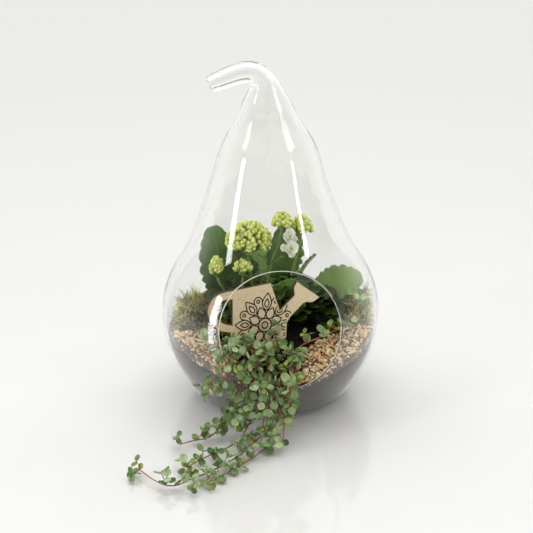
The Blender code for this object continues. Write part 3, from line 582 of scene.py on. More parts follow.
def stem_wall(lean):
    """The drawn-out stem has a thicker wall than the pear."""
    return WALL + (STEM_WALL - WALL) * smooth_step(lean / STEM_THICK_LEAN)


def opened_cells(rows):
    """The cells of the grid whose middle lies in the opening."""
    gone = set()
    for i in range(len(rows) - 1):
        for s in range(SIDES):
            t = (s + 1) % SIDES
            middle = (rows[i][s] + rows[i][t] + rows[i + 1][s] + rows[i + 1][t]) / 4
            if middle.y < 0 and off_axis(middle) < OPENING_RADIUS:
                gone.add((i, s))
    return gone


def half_round(outside, inside, way):
    """Points of a half circle from the outer to the inner skin that bulges along way."""
    middle, half = (outside + inside) / 2, (outside - inside) / 2
    turns = [math.pi * n / BEAD_STEPS for n in range(1, BEAD_STEPS)]
    return [middle + half * math.cos(turn) + way * (half.length * math.sin(turn)) for turn in turns]


def make_glass(finish, edge_finish):
    """Two skins, the beads that join them, and the flat foot; the bead's two rims stay sharp."""
    outer = [ring_points(*ring) for ring in RINGS]
    inner = [ring_points(x, inner_radius(z) if lean < STEM_LEAN else radius - stem_wall(lean), max(z, BASE),
                         lean) for x, radius, z, lean in RINGS]
    gone = opened_cells(outer)
    loop, angles = edge_loop(gone, outer)
    arcs = []
    for (i, s), angle in zip(loop, angles):
        outer[i][s], way = on_edge(angle, outer_radius)
        inner[i][s], _ = on_edge(angle, inner_radius)
        arcs.append(half_round(outer[i][s], inner[i][s], -way))
    pile = GlassPile()
    pile.skins(outer, inner, gone)
    pile.bead(loop, arcs, False, PIPED_LIGHT_STEPS)
    lean = RINGS[-1][3]
    along = Vector((-math.sin(lean), 0, math.cos(lean)))
    end_arcs = [half_round(a, b, along) for a, b in zip(outer[-1], inner[-1])]
    pile.bead([(len(RINGS) - 1, s) for s in range(SIDES)], end_arcs, True)
    pile.foot("out", outer[0], 0.0)
    pile.foot("in", inner[0], BASE)
    piece = make_piece("pear_glass", pile, [finish, edge_finish], ["glass_pear"])
    for skin in ("out", "in"):
        rim = {pile.index[(skin, *spot)] for spot in loop}
        for edge in piece.data.edges:
            edge.use_edge_sharp = edge.use_edge_sharp or rim.issuperset(edge.vertices)
    return piece


# %% [markdown]
# Clear glass needs three things in Cycles: full transmission, an index near 1.47 and no roughness. The
# light that reaches the plants would have to find its way through two curved walls, which is slow and
# noisy, so a Transparent shader takes over for shadow rays only. Damp soil leaves a thin film of dust on
# the lower wall: there a few hundredths of the surface turn from clear to white, in soft patches. The middle
# of the opening's edge is a milky white band between two clear lines: painted light, in place of the light
# that the glass wall pipes to its edge.

# %% Glass finish
GLASS_INDEX = 1.47
FILM_FADES = ((0.0, 0.06), (0.10, 0.028), (0.16, 0.0))
SHADOW_TINT = (0.92, 0.925, 0.92, 1)


def glass_finish():
    finish, shader = new_finish("blown_glass", 0.0, (0.998, 0.998, 0.993), IOR=GLASS_INDEX,
                                Transmission_Weight=1.0)
    height = parts_of(finish, where(finish))[2]
    film = ramp(finish, height, [(at, (share, share, share)) for at, share in FILM_FADES])
    patches = calc(finish, "MULTIPLY", film, calc(finish, "ADD", grain_of(finish, 30, 3.0), 0.5))
    join(finish, calc(finish, "SUBTRACT", 1.0, patches), shader.inputs["Transmission Weight"])
    clear = add_node(finish, "ShaderNodeBsdfTransparent")
    clear.inputs["Color"].default_value = SHADOW_TINT
    ray = add_node(finish, "ShaderNodeLightPath")
    either = add_node(finish, "ShaderNodeMixShader")
    join(finish, ray.outputs["Is Shadow Ray"], either.inputs[0])
    join(finish, shader.outputs[0], either.inputs[1])
    join(finish, clear.outputs[0], either.inputs[2])
    join(finish, either.outputs[0], finish.node_tree.nodes["Material Output"].inputs["Surface"])
    return finish


def piped_light_edge_finish():
    finish, shader = new_finish("painted_piped_light_edge", 0.15, IOR=GLASS_INDEX, Transmission_Weight=0.15)
    # The milky white is painted light: it stands in for the light that the glass wall pipes to its edge.
    milky = ramp(finish, grain_of(finish, 5, 2.0), [(0.3, (0.9, 0.9, 0.87)), (0.7, (0.99, 0.99, 0.97))])
    join(finish, milky, shader.inputs["Base Color"])
    return finish


make_glass(glass_finish(), piped_light_edge_finish())

# %% [markdown]
# ## Soil
#
# Potting soil is dark crumbs of peat and bark, and here it is painted darker still, near black: painted shade
# for the hollow under the plants. It shows through the glass all round the foot and in the bare hollow behind
# the opening. Rings of corners follow the inside of the pear and the slope of the ground, and noise moves them
# by up to two millimetres, so that the edge against the glass is uneven.

# %% Ground heights
LIP = Vector((0, -106, 0))
SOIL_AT_LIP = 43.0
SOIL_RISE = 0.28
SOIL_TOP = 74.0
GRIT_THIN = 2.0
GRIT_THICK = 9.0
GRIT_REACH = 60.0
BARE_SOIL = [(-125, -24), (-96, -28), (-70, -34), (-51, -46), (-49, -68), (-39, -82), (-12, -87),
             (15, -84), (27, -72), (30, -56), (46, -46), (70, -38), (96, -30), (125, -26),
             (125, 125), (-125, 125)]


def soil_height(x, y):
    """The soil rises evenly from the lip of the opening until it is level."""
    return min(SOIL_TOP, SOIL_AT_LIP + SOIL_RISE * math.hypot(x - LIP.x, y - LIP.y))


def grit_height(x, y):
    """The grit is thin behind the lip, where it must stay below the opening's edge."""
    away = math.hypot((x - LIP.x) / 2, y - LIP.y)
    return soil_height(x, y) + GRIT_THIN + GRIT_THICK * smooth_step(away / GRIT_REACH)


def inside_outline(outline, x, y):
    """Whether a point lies inside a closed outline."""
    odd = False
    for (ax, ay), (bx, by) in zip(outline, outline[1:] + outline[:1]):
        if (ay > y) != (by > y) and x < ax + (bx - ax) * (y - ay) / (by - ay):
            odd = not odd
    return odd


# %% Soil mesh
SOIL_SIDES = 150
SOIL_WALL_ROWS = 26
SOIL_TOP_ROWS = 40
SOIL_FLOOR = BASE + 0.5
SOIL_PEAK = 0.4
WALL_GAP = 0.5
HEIGHT_ROUNDS = 20


def wall_height(turn):
    """The height at which the ground meets the glass in one direction."""
    height = soil_height(0, 0)
    for _ in range(HEIGHT_ROUNDS):
        radius = inner_radius(height) - WALL_GAP
        height = soil_height(radius * math.cos(turn), radius * math.sin(turn))
    return height


def crumble(point, size):
    """A number from -1 to 1 that changes over about size millimetres."""
    return noise.noise(point / size)


def make_soil(finish):
    """A ring grid: the floor, then up the wall, then over the top to its middle."""
    turns = turns_of(SOIL_SIDES)
    highs = [wall_height(turn) for turn in turns]
    corners = [Vector((FLOOR_RADIUS * share * math.cos(turn), FLOOR_RADIUS * share * math.sin(turn),
                       SOIL_FLOOR))
               for share in (0.3, 0.7) for turn in turns]
    for level in range(SOIL_WALL_ROWS + 1):
        for turn, high in zip(turns, highs):
            height = SOIL_FLOOR + (high - SOIL_FLOOR) * level / SOIL_WALL_ROWS
            way = Vector((math.cos(turn), math.sin(turn), 0))
            point = way * (inner_radius(height) - WALL_GAP) + UP * height
            sink = 0.5 * abs(crumble(point, 3.5)) + 0.2 * abs(crumble(point, 11))
            corners.append(point - way * sink)
    for level in range(1, SOIL_TOP_ROWS):
        for turn, high in zip(turns, highs):
            reach = (inner_radius(high) - WALL_GAP) * (1 - level / SOIL_TOP_ROWS)
            x, y = reach * math.cos(turn), reach * math.sin(turn)
            point = Vector((x, y, soil_height(x, y)))
            lift = 1.1 * crumble(point, 4) + 1.2 * crumble(point, 12)
            corners.append(point + UP * min(SOIL_PEAK, lift))
    pile = Pile()
    pile.add(corners, closed_tube(len(corners) // SOIL_SIDES, SOIL_SIDES), [(0, 0, 0)] * len(corners))
    return make_piece("soil_bed", pile, [finish], ["soil"])


# %% Soil finish
def soil_finish():
    finish, shader = new_finish("potting_soil_painted_shade", 0.95, Specular_IOR_Level=0.15)
    crumbs = grain_of(finish, 2.2, 5.0, 0.7)
    # Near black, darker than the soil itself: painted shade for the hollow under the plants.
    colour = ramp(finish, crumbs, [(0.3, (0.004, 0.003, 0.002)), (0.5, (0.014, 0.01, 0.007)),
                                   (0.62, (0.05, 0.035, 0.024)), (0.76, (0.17, 0.12, 0.08))])
    join(finish, colour, shader.inputs["Base Color"])
    bump(finish, shader, grain_of(finish, 1.2, 4.0), 0.8, 0.9)
    return finish


make_soil(soil_finish())

# %% [markdown]
# ## Grit
#
# The grit is crushed beige stone, 3 to 6 mm across, with white and rust-brown grains among it. The CAD slab
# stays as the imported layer, and real grains are laid over it: two layers of a hexagonal grid on its top, and
# columns of grains against the glass. Each grain is an icosahedron stretched and turned by a seeded draw,
# with flat faces, since crushed stone is angular. The grain's own number picks its colour.

# %% One grain
GOLD = (1 + math.sqrt(5)) / 2
GRAIN_CORNERS = [Vector(c).normalized() for c in (
    (-1, GOLD, 0), (1, GOLD, 0), (-1, -GOLD, 0), (1, -GOLD, 0), (0, -1, GOLD), (0, 1, GOLD),
    (0, -1, -GOLD), (0, 1, -GOLD), (GOLD, 0, -1), (GOLD, 0, 1), (-GOLD, 0, -1), (-GOLD, 0, 1))]
GRAIN_FACES = [(0, 11, 5), (0, 5, 1), (0, 1, 7), (0, 7, 10), (0, 10, 11), (1, 5, 9), (5, 11, 4),
               (11, 10, 2), (10, 7, 6), (7, 1, 8), (3, 9, 4), (3, 4, 2), (3, 2, 6), (3, 6, 8), (3, 8, 9),
               (4, 9, 5), (2, 4, 11), (6, 2, 10), (8, 6, 7), (9, 8, 1)]


def grain(pile, middle, size, draw):
    """One angular grain about size millimetres in radius."""
    stretch = [size * draw.uniform(0.62, 1.15) for _ in range(3)]
    turned = Matrix.Rotation(draw.uniform(0, 6.28), 3, "Z") @ Matrix.Rotation(draw.uniform(0, 6.28), 3, "X")
    corners = []
    for corner in GRAIN_CORNERS:
        rough = draw.uniform(0.82, 1.12)
        corners.append(middle + turned @ Vector([c * s * rough for c, s in zip(corner, stretch)]))
    pile.add(corners, GRAIN_FACES, [(0, 0, draw.random())] * len(corners))


# %% Grains
GRAIN_PITCH = 3.75
GRAIN_ROW = GRAIN_PITCH * math.sqrt(3) / 2
LAYER_SINKS = (0.6, 2.2)
BED_EDGE = 114
WALL_RING = 108
GROUND_RING = 105
FRONT_CLEAR = 6


def lay_bed(pile, draw):
    """Grains in layers on the slab, clear of the glass and of the bare soil."""
    for layer, sink in enumerate(LAYER_SINKS):
        y = -BED_EDGE + layer * GRAIN_ROW / 2
        odd = 0
        while y < 0:
            x = -BED_EDGE + odd * GRAIN_PITCH / 2
            while x < BED_EDGE:
                px, py = x + draw.uniform(-0.9, 0.9), y + draw.uniform(-0.9, 0.9)
                size = draw.uniform(1.8, 3.05)
                height = grit_height(px, py)
                clear = math.hypot(px, py) < inner_radius(height) - size - 0.6
                if clear and not inside_outline(BARE_SOIL, px, py):
                    grain(pile, Vector((px, py, height - sink + draw.uniform(-0.5, 0.7))), size, draw)
                x += GRAIN_PITCH
            y += GRAIN_ROW
            odd = 1 - odd


def stack_at_wall(pile, draw):
    """Columns of grains against the glass, from the soil to the top of the grit."""
    for step in range(round(2 * math.pi * WALL_RING / GRAIN_PITCH)):
        turn = (step * GRAIN_PITCH + draw.uniform(-1.2, 1.2)) / WALL_RING
        ground = (GROUND_RING * math.cos(turn), GROUND_RING * math.sin(turn))
        low, high = soil_height(*ground), grit_height(*ground)
        height = low + draw.uniform(0.2, 1.8)
        while height < high:
            size = draw.uniform(1.8, 2.9)
            reach = inner_radius(height) - size * 1.1 - 0.4
            aside = turn + draw.uniform(-0.8, 0.8) / WALL_RING
            spot = Vector((reach * math.cos(aside), reach * math.sin(aside), height))
            behind_edge = off_axis(spot) > OPENING_RADIUS - FRONT_CLEAR or spot.y > 0
            if behind_edge and not inside_outline(BARE_SOIL, spot.x, spot.y):
                grain(pile, spot, size, draw)
            height += draw.uniform(2.3, 3.3)


def make_grains(finish):
    draw = random.Random(31)
    pile = Pile()
    lay_bed(pile, draw)
    stack_at_wall(pile, draw)
    return make_piece("grit_grains", pile, [finish], smooth=False)


# %% Grit finish
# Painted shade for the slab that lies under the grains.
SLAB_PAINTED_SHADE = (0.26, 0.2, 0.14)


def grit_finish(name, slab_in_painted_shade):
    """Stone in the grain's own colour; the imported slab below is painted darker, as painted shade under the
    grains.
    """
    finish, shader = new_finish(name, 0.45)
    own = place_of(finish)[2]
    stone = ramp(finish, own, [(0.0, (0.3, 0.16, 0.06)), (0.13, (0.68, 0.42, 0.17)),
                               (0.4, (0.9, 0.66, 0.33)), (0.6, (0.95, 0.8, 0.52)),
                               (0.8, (0.96, 0.9, 0.76)), (0.9, (0.66, 0.3, 0.11)),
                               (0.97, (0.24, 0.15, 0.08))])
    speck = grain_of(finish, 1.5, 3.0)
    colour = blend(finish, speck, stone, blend(finish, 1.0, stone, (0.86, 0.8, 0.7), "MULTIPLY"))
    if slab_in_painted_shade:
        colour = blend(finish, 1.0, colour, SLAB_PAINTED_SHADE, "MULTIPLY")
    join(finish, colour, shader.inputs["Base Color"])
    bump(finish, shader, speck, 0.3, 0.5)
    return finish


make_grains(grit_finish("crushed_grit", False))
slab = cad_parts["gravel"].data
slab.materials.clear()
slab.materials.append(grit_finish("grit_slab_painted_shade", True))

# %% [markdown]
# ## Moss
#
# The two tufts are feather moss: a loose tangle of branching shoots, olive to yellow-green, with brown old
# ends and dark gaps between them. A smooth lump would look like plasticine. So small cores, painted near black
# as painted shade for those gaps, only block the view, and about a thousand curved shoots stand out of them,
# each with rows of tiny leaflets like a feather. The shoots are paler towards their tips: partly young growth,
# partly a painted highlight. On the right a third core, thinner than a solid may be, lets the moss climb the
# glass.

# %% Cores of the moss
MOSS = {
    "moss_left": [((-81, 3), (25, 23, 38)), ((-57, -8), (15, 14, 20))],
    "moss_right": [((93, -10), (16, 17, 37)), ((75, -13), (16, 14, 17)), ((101, -6), (9, 13, 42))],
}
CORE_SINK = 7
CORE_SIDES = 28
CORE_RINGS = 16
CORE_ROUGH = 0.3


def keep_inside(point, margin):
    """Moves a point towards the axis until it is clear of the glass."""
    reach = math.hypot(point.x, point.y)
    limit = inner_radius(point.z) - margin
    if reach > limit:
        return Vector((point.x * limit / reach, point.y * limit / reach, point.z))
    return point


def keep_above(point):
    """Lifts a point out of the ground."""
    return Vector((point.x, point.y, max(point.z, soil_height(point.x, point.y) + 0.6)))


def core(pile, centre, radii):
    """A closed rounded lump whose skin is roughened by noise."""
    corners = [keep_above(centre - UP * radii[2])]
    for i in range(1, CORE_RINGS):
        for turn in turns_of(CORE_SIDES):
            way = dome_way(math.pi * i / CORE_RINGS, turn)
            way.z = -way.z
            push = 1 + CORE_ROUGH * crumble(way * 20 + centre, 5)
            corner = centre + Vector([w * r * push for w, r in zip(way, radii)])
            corners.append(keep_above(keep_inside(corner, 2.0)))
    corners.append(centre + UP * radii[2])
    top = len(corners) - 1
    faces = []
    for s in range(CORE_SIDES):
        after = (s + 1) % CORE_SIDES
        faces += [(0, 1 + after, 1 + s), (top, top - CORE_SIDES + s, top - CORE_SIDES + after)]
    tube = closed_tube(CORE_RINGS - 1, CORE_SIDES)[:-2]
    # Own number 0: the moss finish paints the core near black, as painted shade inside the tuft.
    pile.add(corners, faces + [tuple(1 + c for c in face) for face in tube], [(0, 0, 0.0)] * len(corners))


# %% Moss shoots
MOSS_SHOOTS = 1050
SHOOT_PARTS = 6
SHOOT_RADIUS = 0.32
LEAFLETS = 5
LEAFLET_TURN = 2.4


def leaflet(pile, spot, out, along, length, width, number):
    """A tiny pointed leaf with four corners and four faces."""
    wide = out.cross(along).normalized() * width / 2
    deep = out.cross(wide).normalized() * width * 0.25
    tip = keep_above(keep_inside(spot + out * length, 0.8))
    pile.add([spot - wide, spot + wide, spot + deep, tip], [(0, 2, 1), (0, 1, 3), (1, 2, 3), (2, 0, 3)],
             [(0.4, 0, number)] * 3 + [(1.0, 0, number)])


def moss_shoot(pile, foot, way, length, draw):
    """A curved shoot with rows of leaflets that get shorter towards its tip."""
    number = draw.uniform(0.08, 1.0)
    curl = stray(draw, 1)
    line = [foot]
    for _ in range(SHOOT_PARTS):
        way = (way + curl * 0.6 + UP * 0.1).normalized()
        line.append(keep_above(keep_inside(line[-1] + way * length / SHOOT_PARTS, 1.2)))
    shoot(pile, line, [SHOOT_RADIUS * (1 - 0.1 * k) for k in range(SHOOT_PARTS + 1)], 3, number)
    for i in range(draw.choice((1, 1, 2, 3)), SHOOT_PARTS + 1):
        along = (line[i] - line[i - 1]).normalized()
        side = along.orthogonal().normalized()
        small = 1.1 - 0.5 * i / SHOOT_PARTS
        for n in range(LEAFLETS):
            turned = Matrix.Rotation(n * LEAFLET_TURN + i + draw.uniform(-0.4, 0.4), 3, along) @ side
            out = (turned + along * draw.uniform(0.5, 1.2)).normalized()
            spot = line[i - 1].lerp(line[i], (n + 0.5) / LEAFLETS)
            leaflet(pile, spot, out, along, draw.uniform(1.3, 2.2) * small, 1.1 * small, number)


def make_moss(node, finish):
    """The cores, and shoots out of them; every eighth one stands up and is longer."""
    draw = random.Random(node)
    pile = Pile()
    lumps = [(Vector((x, y, soil_height(x, y))), radii) for (x, y), radii in MOSS[node]]
    for centre, radii in lumps:
        core(pile, centre, [r - CORE_SINK for r in radii])
    weights = [radii[0] * radii[1] for _, radii in lumps]
    for number in range(MOSS_SHOOTS):
        upright = number % 8 == 0
        centre, radii = draw.choices(lumps, weights)[0]
        lift, turn = math.acos(draw.uniform(0.7 if upright else 0.0, 1.0)), draw.uniform(0, 2 * math.pi)
        way = dome_way(lift, turn)
        sink = draw.choice((3.0, 5.0, 8.0, 11.0))
        foot = centre + Vector([w * max(2.0, r - sink) for w, r in zip(way, radii)])
        start = way * 0.5 + stray(draw, 0.8)
        if upright:
            start = way * 0.6 + UP * 0.8 + stray(draw, 0.3)
        length = draw.uniform(13, 20) if upright else draw.uniform(7, 13)
        moss_shoot(pile, keep_inside(foot, 2.0), start.normalized(), length, draw)
    return make_piece(node + "_tuft", pile, [finish], [node])


# %% Moss finish
# Paler tips: partly young growth, partly a painted highlight.
TIP_PALENESS_AND_HIGHLIGHT = (2.0, 1.95, 1.5)


def moss_finish():
    finish, shader = new_finish("feather_moss", 0.85, Specular_IOR_Level=0.1)
    along, _, own = place_of(finish)
    # At 0 the ramp holds the near black of the cores: painted shade for the gaps in the tuft.
    shade = ramp(finish, own, [(0.0, (0.01, 0.009, 0.003)), (0.1, (0.1, 0.11, 0.012)),
                               (0.35, (0.27, 0.3, 0.03)), (0.62, (0.5, 0.5, 0.075)),
                               (0.84, (0.72, 0.68, 0.22)), (0.9, (0.36, 0.19, 0.05)),
                               (1.0, (0.15, 0.07, 0.02))])
    pale_and_highlit_tip = blend(finish, 1.0, shade, TIP_PALENESS_AND_HIGHLIGHT, "MULTIPLY")
    colour = blend(finish, calc(finish, "MULTIPLY", along, 0.7), shade, pale_and_highlit_tip)
    return complete(finish, shader, colour, 0.8, 0.3, 0.5)


for moss_node in MOSS:
    make_moss(moss_node, moss_finish())

# %% [markdown]
# ## The plywood watering can
#
# It is cut from 4 mm plywood by laser, which leaves the sawn edges burnt dark brown, and a rosette is
# burnt into its face. The plate is a prism over the same outline as the CAD, with its round stretches
# drawn as curves. The face keeps a narrow scorched rim, set by the corners' `place`.

# %% Plate outline
PLY = 4.0
CAN_CORNER = Vector((-50, -60, 140.5))
CAN_YAW = math.radians(20)
CAN_LEAN = math.radians(8)
CAN_ROLL = math.radians(1.5)
CAN_BODY = [(0, 0), (48, 0), (55.4, -31), (73.4, -18.5), (73.5, -10), (77.7, -4.3), (102.5, -26)]
CAN_ROSE = [(102.5, -26), (93.6, -29.8), (84.4, -28.4), (75.4, -34.4), (67.5, -39.8), (62.3, -45.5)]
CAN_FOOT = [(60, -62), (34, -62), (29, -97), (23, -97), (18, -62), (-4, -62), (-2, -43)]
CAN_HANDLE = [(-2, -43), (-13.7, -38.5), (-21.5, -28), (-24, -16), (-18, -5), (-9, -0.8), (0, 0)]
CAN_HOLE = [(3.6, -9), (1, -36), (-9, -31.5), (-14.6, -23), (-13, -12.5), (-5, -8.5)]
CURVE_STEP = 1.5


def can_place():
    """The plate's own frame: its outline's plane is XY and it faces +Z."""
    flat = Vector((math.cos(CAN_YAW), math.sin(CAN_YAW), 0))
    facing = Vector((math.sin(CAN_YAW), -math.cos(CAN_YAW), 0))
    rise = UP * math.cos(CAN_LEAN) - facing * math.sin(CAN_LEAN)
    right = flat * math.cos(CAN_ROLL) + rise * math.sin(CAN_ROLL)
    rise = rise * math.cos(CAN_ROLL) - flat * math.sin(CAN_ROLL)
    place = Matrix((right, rise, right.cross(rise))).transposed().to_4x4()
    place.translation = CAN_CORNER
    return place


def rounded(points):
    """The points of a curve through a stretch of the outline."""
    return [(p.x, p.y) for p in smooth_line([(x, y, 0) for x, y in points], CURVE_STEP)]


CAN_PLACE = can_place()
CAN_OUTLINE = (CAN_BODY[:-1] + rounded(CAN_ROSE)[:-1] + [CAN_ROSE[-1]] + CAN_FOOT[:-1]
               + rounded(CAN_HANDLE)[:-1])
HOLE_OUTLINE = rounded(CAN_HOLE[1:] + CAN_HOLE[:1])

# %% Plate mesh
SCORCH = 1.1
SHARPEST = 0.4


def runs_backwards(outline):
    """Whether an outline runs clockwise."""
    return sum(a[0] * b[1] - b[0] * a[1] for a, b in zip(outline, outline[1:] + outline[:1])) < 0


def inset(outline, distance):
    """The outline moved towards its own inside by a distance."""
    turn = -1 if runs_backwards(outline) else 1
    moved = []
    for i, (x, y) in enumerate(outline):
        before, after = Vector(outline[i - 1]), Vector(outline[(i + 1) % len(outline)])
        here = Vector((x, y))
        one, two = (here - before).normalized(), (after - here).normalized()
        side = Vector((-one.y, one.x)) * turn
        normal = Vector((-(one.y + two.y), one.x + two.x)) * turn
        if normal.length < 1e-6:
            normal = side.copy()
        normal.normalize()
        reach = distance / max(SHARPEST, normal.dot(side))
        moved.append((x + normal.x * reach, y + normal.y * reach))
    return moved


def on_plate(outline, z):
    """Corners of an outline on the object, at a depth z in the plate."""
    return [CAN_PLACE @ Vector((x, y, z)) for x, y in outline]


def add_faces(pile, outlines):
    """The plate's two flat faces, as triangles between the outlines."""
    loops = [[Vector((x, y, 0)) for x, y in outline] for outline in outlines]
    points = [p for loop in loops for p in loop]
    triangles = [tuple(t) for t in tessellate_polygon(loops)]
    for side in (1, -1):
        faces = []
        for a, b, c in triangles:
            up = (points[b] - points[a]).cross(points[c] - points[a]).z
            faces.append((a, b, c) if up * side > 0 else (c, b, a))
        corners = on_plate([p.xy for p in points], side * PLY / 2)
        pile.add(corners, faces, [(0, 0, 0)] * len(corners))


def strip_faces(count, turned):
    """Faces between two rows of corners of a closed outline."""
    faces = [(i, (i + 1) % count, count + (i + 1) % count, count + i) for i in range(count)]
    return [tuple(reversed(face)) for face in faces] if turned else faces


# %% The whole plate
def make_can(face_finish, edge_finish):
    """Flat faces, a scorched rim on each of them, and the burnt edge between the two."""
    inner_outside, inner_hole = inset(CAN_OUTLINE, SCORCH), inset(HOLE_OUTLINE, -SCORCH)
    pile = Pile()
    add_faces(pile, [inner_outside, inner_hole])
    for edge, inner, flip in ((CAN_OUTLINE, inner_outside, False), (HOLE_OUTLINE, inner_hole, True)):
        backwards = runs_backwards(edge) != flip
        count = len(edge)
        for side in (1, -1):
            z = side * PLY / 2
            faces = strip_faces(count, (side > 0) == backwards)
            pile.add(on_plate(edge, z) + on_plate(inner, z), faces, [(1, 0, 0)] * count + [(0, 0, 0)] * count)
        corners = on_plate(edge, -PLY / 2) + on_plate(edge, PLY / 2)
        pile.add(corners, strip_faces(count, backwards), [(1, 0, 0)] * len(corners), 1)
    return make_piece("watering_can_plate", pile, [face_finish, edge_finish], ["ornament"],
                      smooth=False)


# %% [markdown]
# The rosette is a plain compass pattern: petals made of two arcs, a ring of loops and a ring of dots, all
# drawn by turning one motif round a centre. Each line is a flat ribbon lying on the face, because a laser
# line has an even width, and it stops where the plate ends.

# %% Lines of the rosette
ROSETTE_CENTRE = (37, -43)
PETALS = 8
WHOLE_TURN = 2 * math.pi


def from_centre(angle, out, aside=0.0):
    """A point of the rosette, out from its centre at an angle and a little aside."""
    return (ROSETTE_CENTRE[0] + out * math.cos(angle) - aside * math.sin(angle),
            ROSETTE_CENTRE[1] + out * math.sin(angle) + aside * math.cos(angle))


def arc_points(centre, radius, start, stop, steps=16):
    """Points of an arc, from one angle to another."""
    return [(centre[0] + radius * math.cos(start + (stop - start) * k / steps),
             centre[1] + radius * math.sin(start + (stop - start) * k / steps)) for k in range(steps + 1)]


def petal_lines(angle, near, far, half, steps=16):
    """The two curved sides of one petal, from its root to its point."""
    shares = [k / steps for k in range(steps + 1)]
    return [[from_centre(angle, near + (far - near) * share, side * half * math.sin(math.pi * share ** 0.8))
             for share in shares] for side in (1, -1)]


def rosette_lines():
    """All lines of the drawing, each as a run of points on the plate."""
    lines = [arc_points(ROSETTE_CENTRE, 3.4, 0, WHOLE_TURN),
             arc_points(ROSETTE_CENTRE, 7.2, 0, WHOLE_TURN, 24)]
    for n in range(PETALS):
        angle = WHOLE_TURN * (n + 0.25) / PETALS
        next_angle = angle + math.pi / PETALS
        dot = from_centre(angle, 26.5)
        lines += petal_lines(angle, 7.2, 20, 4.6)
        lines += petal_lines(next_angle, 15.5, 34, 5.2) + petal_lines(next_angle, 18.5, 28, 2.4)
        lines += [arc_points(dot, 1.6, 0, WHOLE_TURN, 12), arc_points(dot, 4.6, angle - 1.9, angle + 1.9)]
    return lines


# %% Burnt drawing
LINE_WIDTH = 1.3
LINE_LIFT = 0.09
LINE_SINK = 0.02
LINE_MARGIN = 1.4


def draw_ribbon(pile, points):
    """A flat closed ribbon of even width along a run of points on the plate."""
    line = [Vector((x, y)) for x, y in points]
    last = len(line) - 1
    low = PLY / 2 - LINE_SINK
    corners = []
    for i, point in enumerate(line):
        along = (line[min(i + 1, last)] - line[max(i - 1, 0)]).normalized()
        across = Vector((-along.y, along.x)) * LINE_WIDTH / 2
        left, right = [point + across], [point - across]
        corners += on_plate(left, low) + on_plate(left + right, low + LINE_LIFT) + on_plate(right, low)
    pile.add(corners, closed_tube(len(line), 4), [(0, 0, 0)] * len(corners))


def make_drawing(finish):
    """The ribbons of the rosette, each cut off where it would leave the plate."""
    pile = Pile()
    edge, hole = inset(CAN_OUTLINE, LINE_MARGIN), inset(HOLE_OUTLINE, -LINE_MARGIN)
    for points in rosette_lines():
        run = []
        for point in points + [None]:
            if point is not None and inside_outline(edge, *point) and not inside_outline(hole, *point):
                run.append(point)
                continue
            if len(run) > 2:
                draw_ribbon(pile, run)
            run = []
    return make_piece("watering_can_drawing", pile, [finish], smooth=False)


# %% Plywood finishes
FIBRE_SCALE = (60, 900, 1500)


def plywood_finish():
    """Birch, with noise stretched along the plate for its fibres and a scorched rim."""
    finish, shader = new_finish("birch_plywood", 0.55)
    stretched = add_node(finish, "ShaderNodeMapping")
    stretched.inputs["Rotation"].default_value = (0, 0.03, -CAN_YAW)
    stretched.inputs["Scale"].default_value = FIBRE_SCALE
    join(finish, where(finish), stretched.inputs["Vector"])
    fibres = add_node(finish, "ShaderNodeTexNoise")
    fibres.inputs["Scale"].default_value = 1.0
    fibres.inputs["Detail"].default_value = 5.0
    join(finish, stretched.outputs[0], fibres.inputs["Vector"])
    wood = ramp(finish, fibres.outputs["Fac"], [(0.3, (0.64, 0.49, 0.29)), (0.5, (0.76, 0.62, 0.39)),
                                                (0.7, (0.83, 0.7, 0.47))])
    scorch = calc(finish, "POWER", place_of(finish)[0], 2.0)
    join(finish, blend(finish, scorch, wood, (0.2, 0.1, 0.04)), shader.inputs["Base Color"])
    bump(finish, shader, fibres.outputs["Fac"], 0.15, 0.4)
    return finish


def burnt_finish(name, colour):
    finish, shader = new_finish(name, 0.8)
    char = ramp(finish, grain_of(finish, 1.5), [(0.35, tuple(c * 0.4 for c in colour)), (0.7, colour)])
    return complete(finish, shader, char, 0.6, 0.2, 0.5)


make_can(plywood_finish(), burnt_finish("burnt_edge", (0.09, 0.035, 0.015)))
make_drawing(burnt_finish("burnt_line", (0.02, 0.012, 0.008)))

# %% [markdown]
# ## Kalanchoe leaves
#
# They are thick, dark green and scalloped, held on round leaf stalks. One formula gives the outline: a broad
# oval whose edge swells into round lobes towards the tip. The blade is cupped along its midrib and its side
# veins are pressed in a little, in the mesh, so that they catch the light from any side.

# %% Leaf mesh
PLANT_DEPTH = 5.0
LEAVES = {
    "kalanchoe_leaf_left": ((-36, 26), (-46, 32, 99), (-60, 32, 179), (0.15, -1, 0.25), 48, 6),
    "kalanchoe_leaf_centre": ((14, 30), (14, 29, 118), (20, 25, 184), (0.2, -1, 0.2), 42, 5),
    "kalanchoe_leaf_right": ((30, 10), (50, 8, 108), (99, 0, 126), (-0.1, -0.75, 0.75), 42, 6),
    "kalanchoe_leaf_middle": ((-12, 26), (-18, 24, 108), (-40, 18, 156), (0.1, -1, 0.4), 36, 4),
    "kalanchoe_leaf_front": ((8, -6), (9, -8, 92), (24, -20, 134), (0.1, -0.8, 0.6), 42, 5),
    "kalanchoe_leaf_low": ((-24, -8), (-25, -12, 90), (-36, -30, 130), (-0.1, -0.8, 0.6), 38, 5),
    "kalanchoe_leaf_back_left": ((-26, 40), (-32, 46, 94), (-58, 68, 132), (0.3, 0.5, 0.9), 42, 5),
    "kalanchoe_leaf_back_right": ((24, 40), (32, 46, 94), (58, 66, 130), (-0.3, 0.5, 0.9), 42, 5),
    "kalanchoe_leaf_back": ((-2, 44), (-3, 52, 98), (-4, 80, 138), (0, 0.4, 0.9), 38, 4),
}
LEAF_ROWS = 60
LEAF_COLUMNS = 16
LEAF_LOBES = 6.5
LOBE_DEPTH = 0.17
VEIN_PAIRS = 5
VEIN_SLANT = 0.22


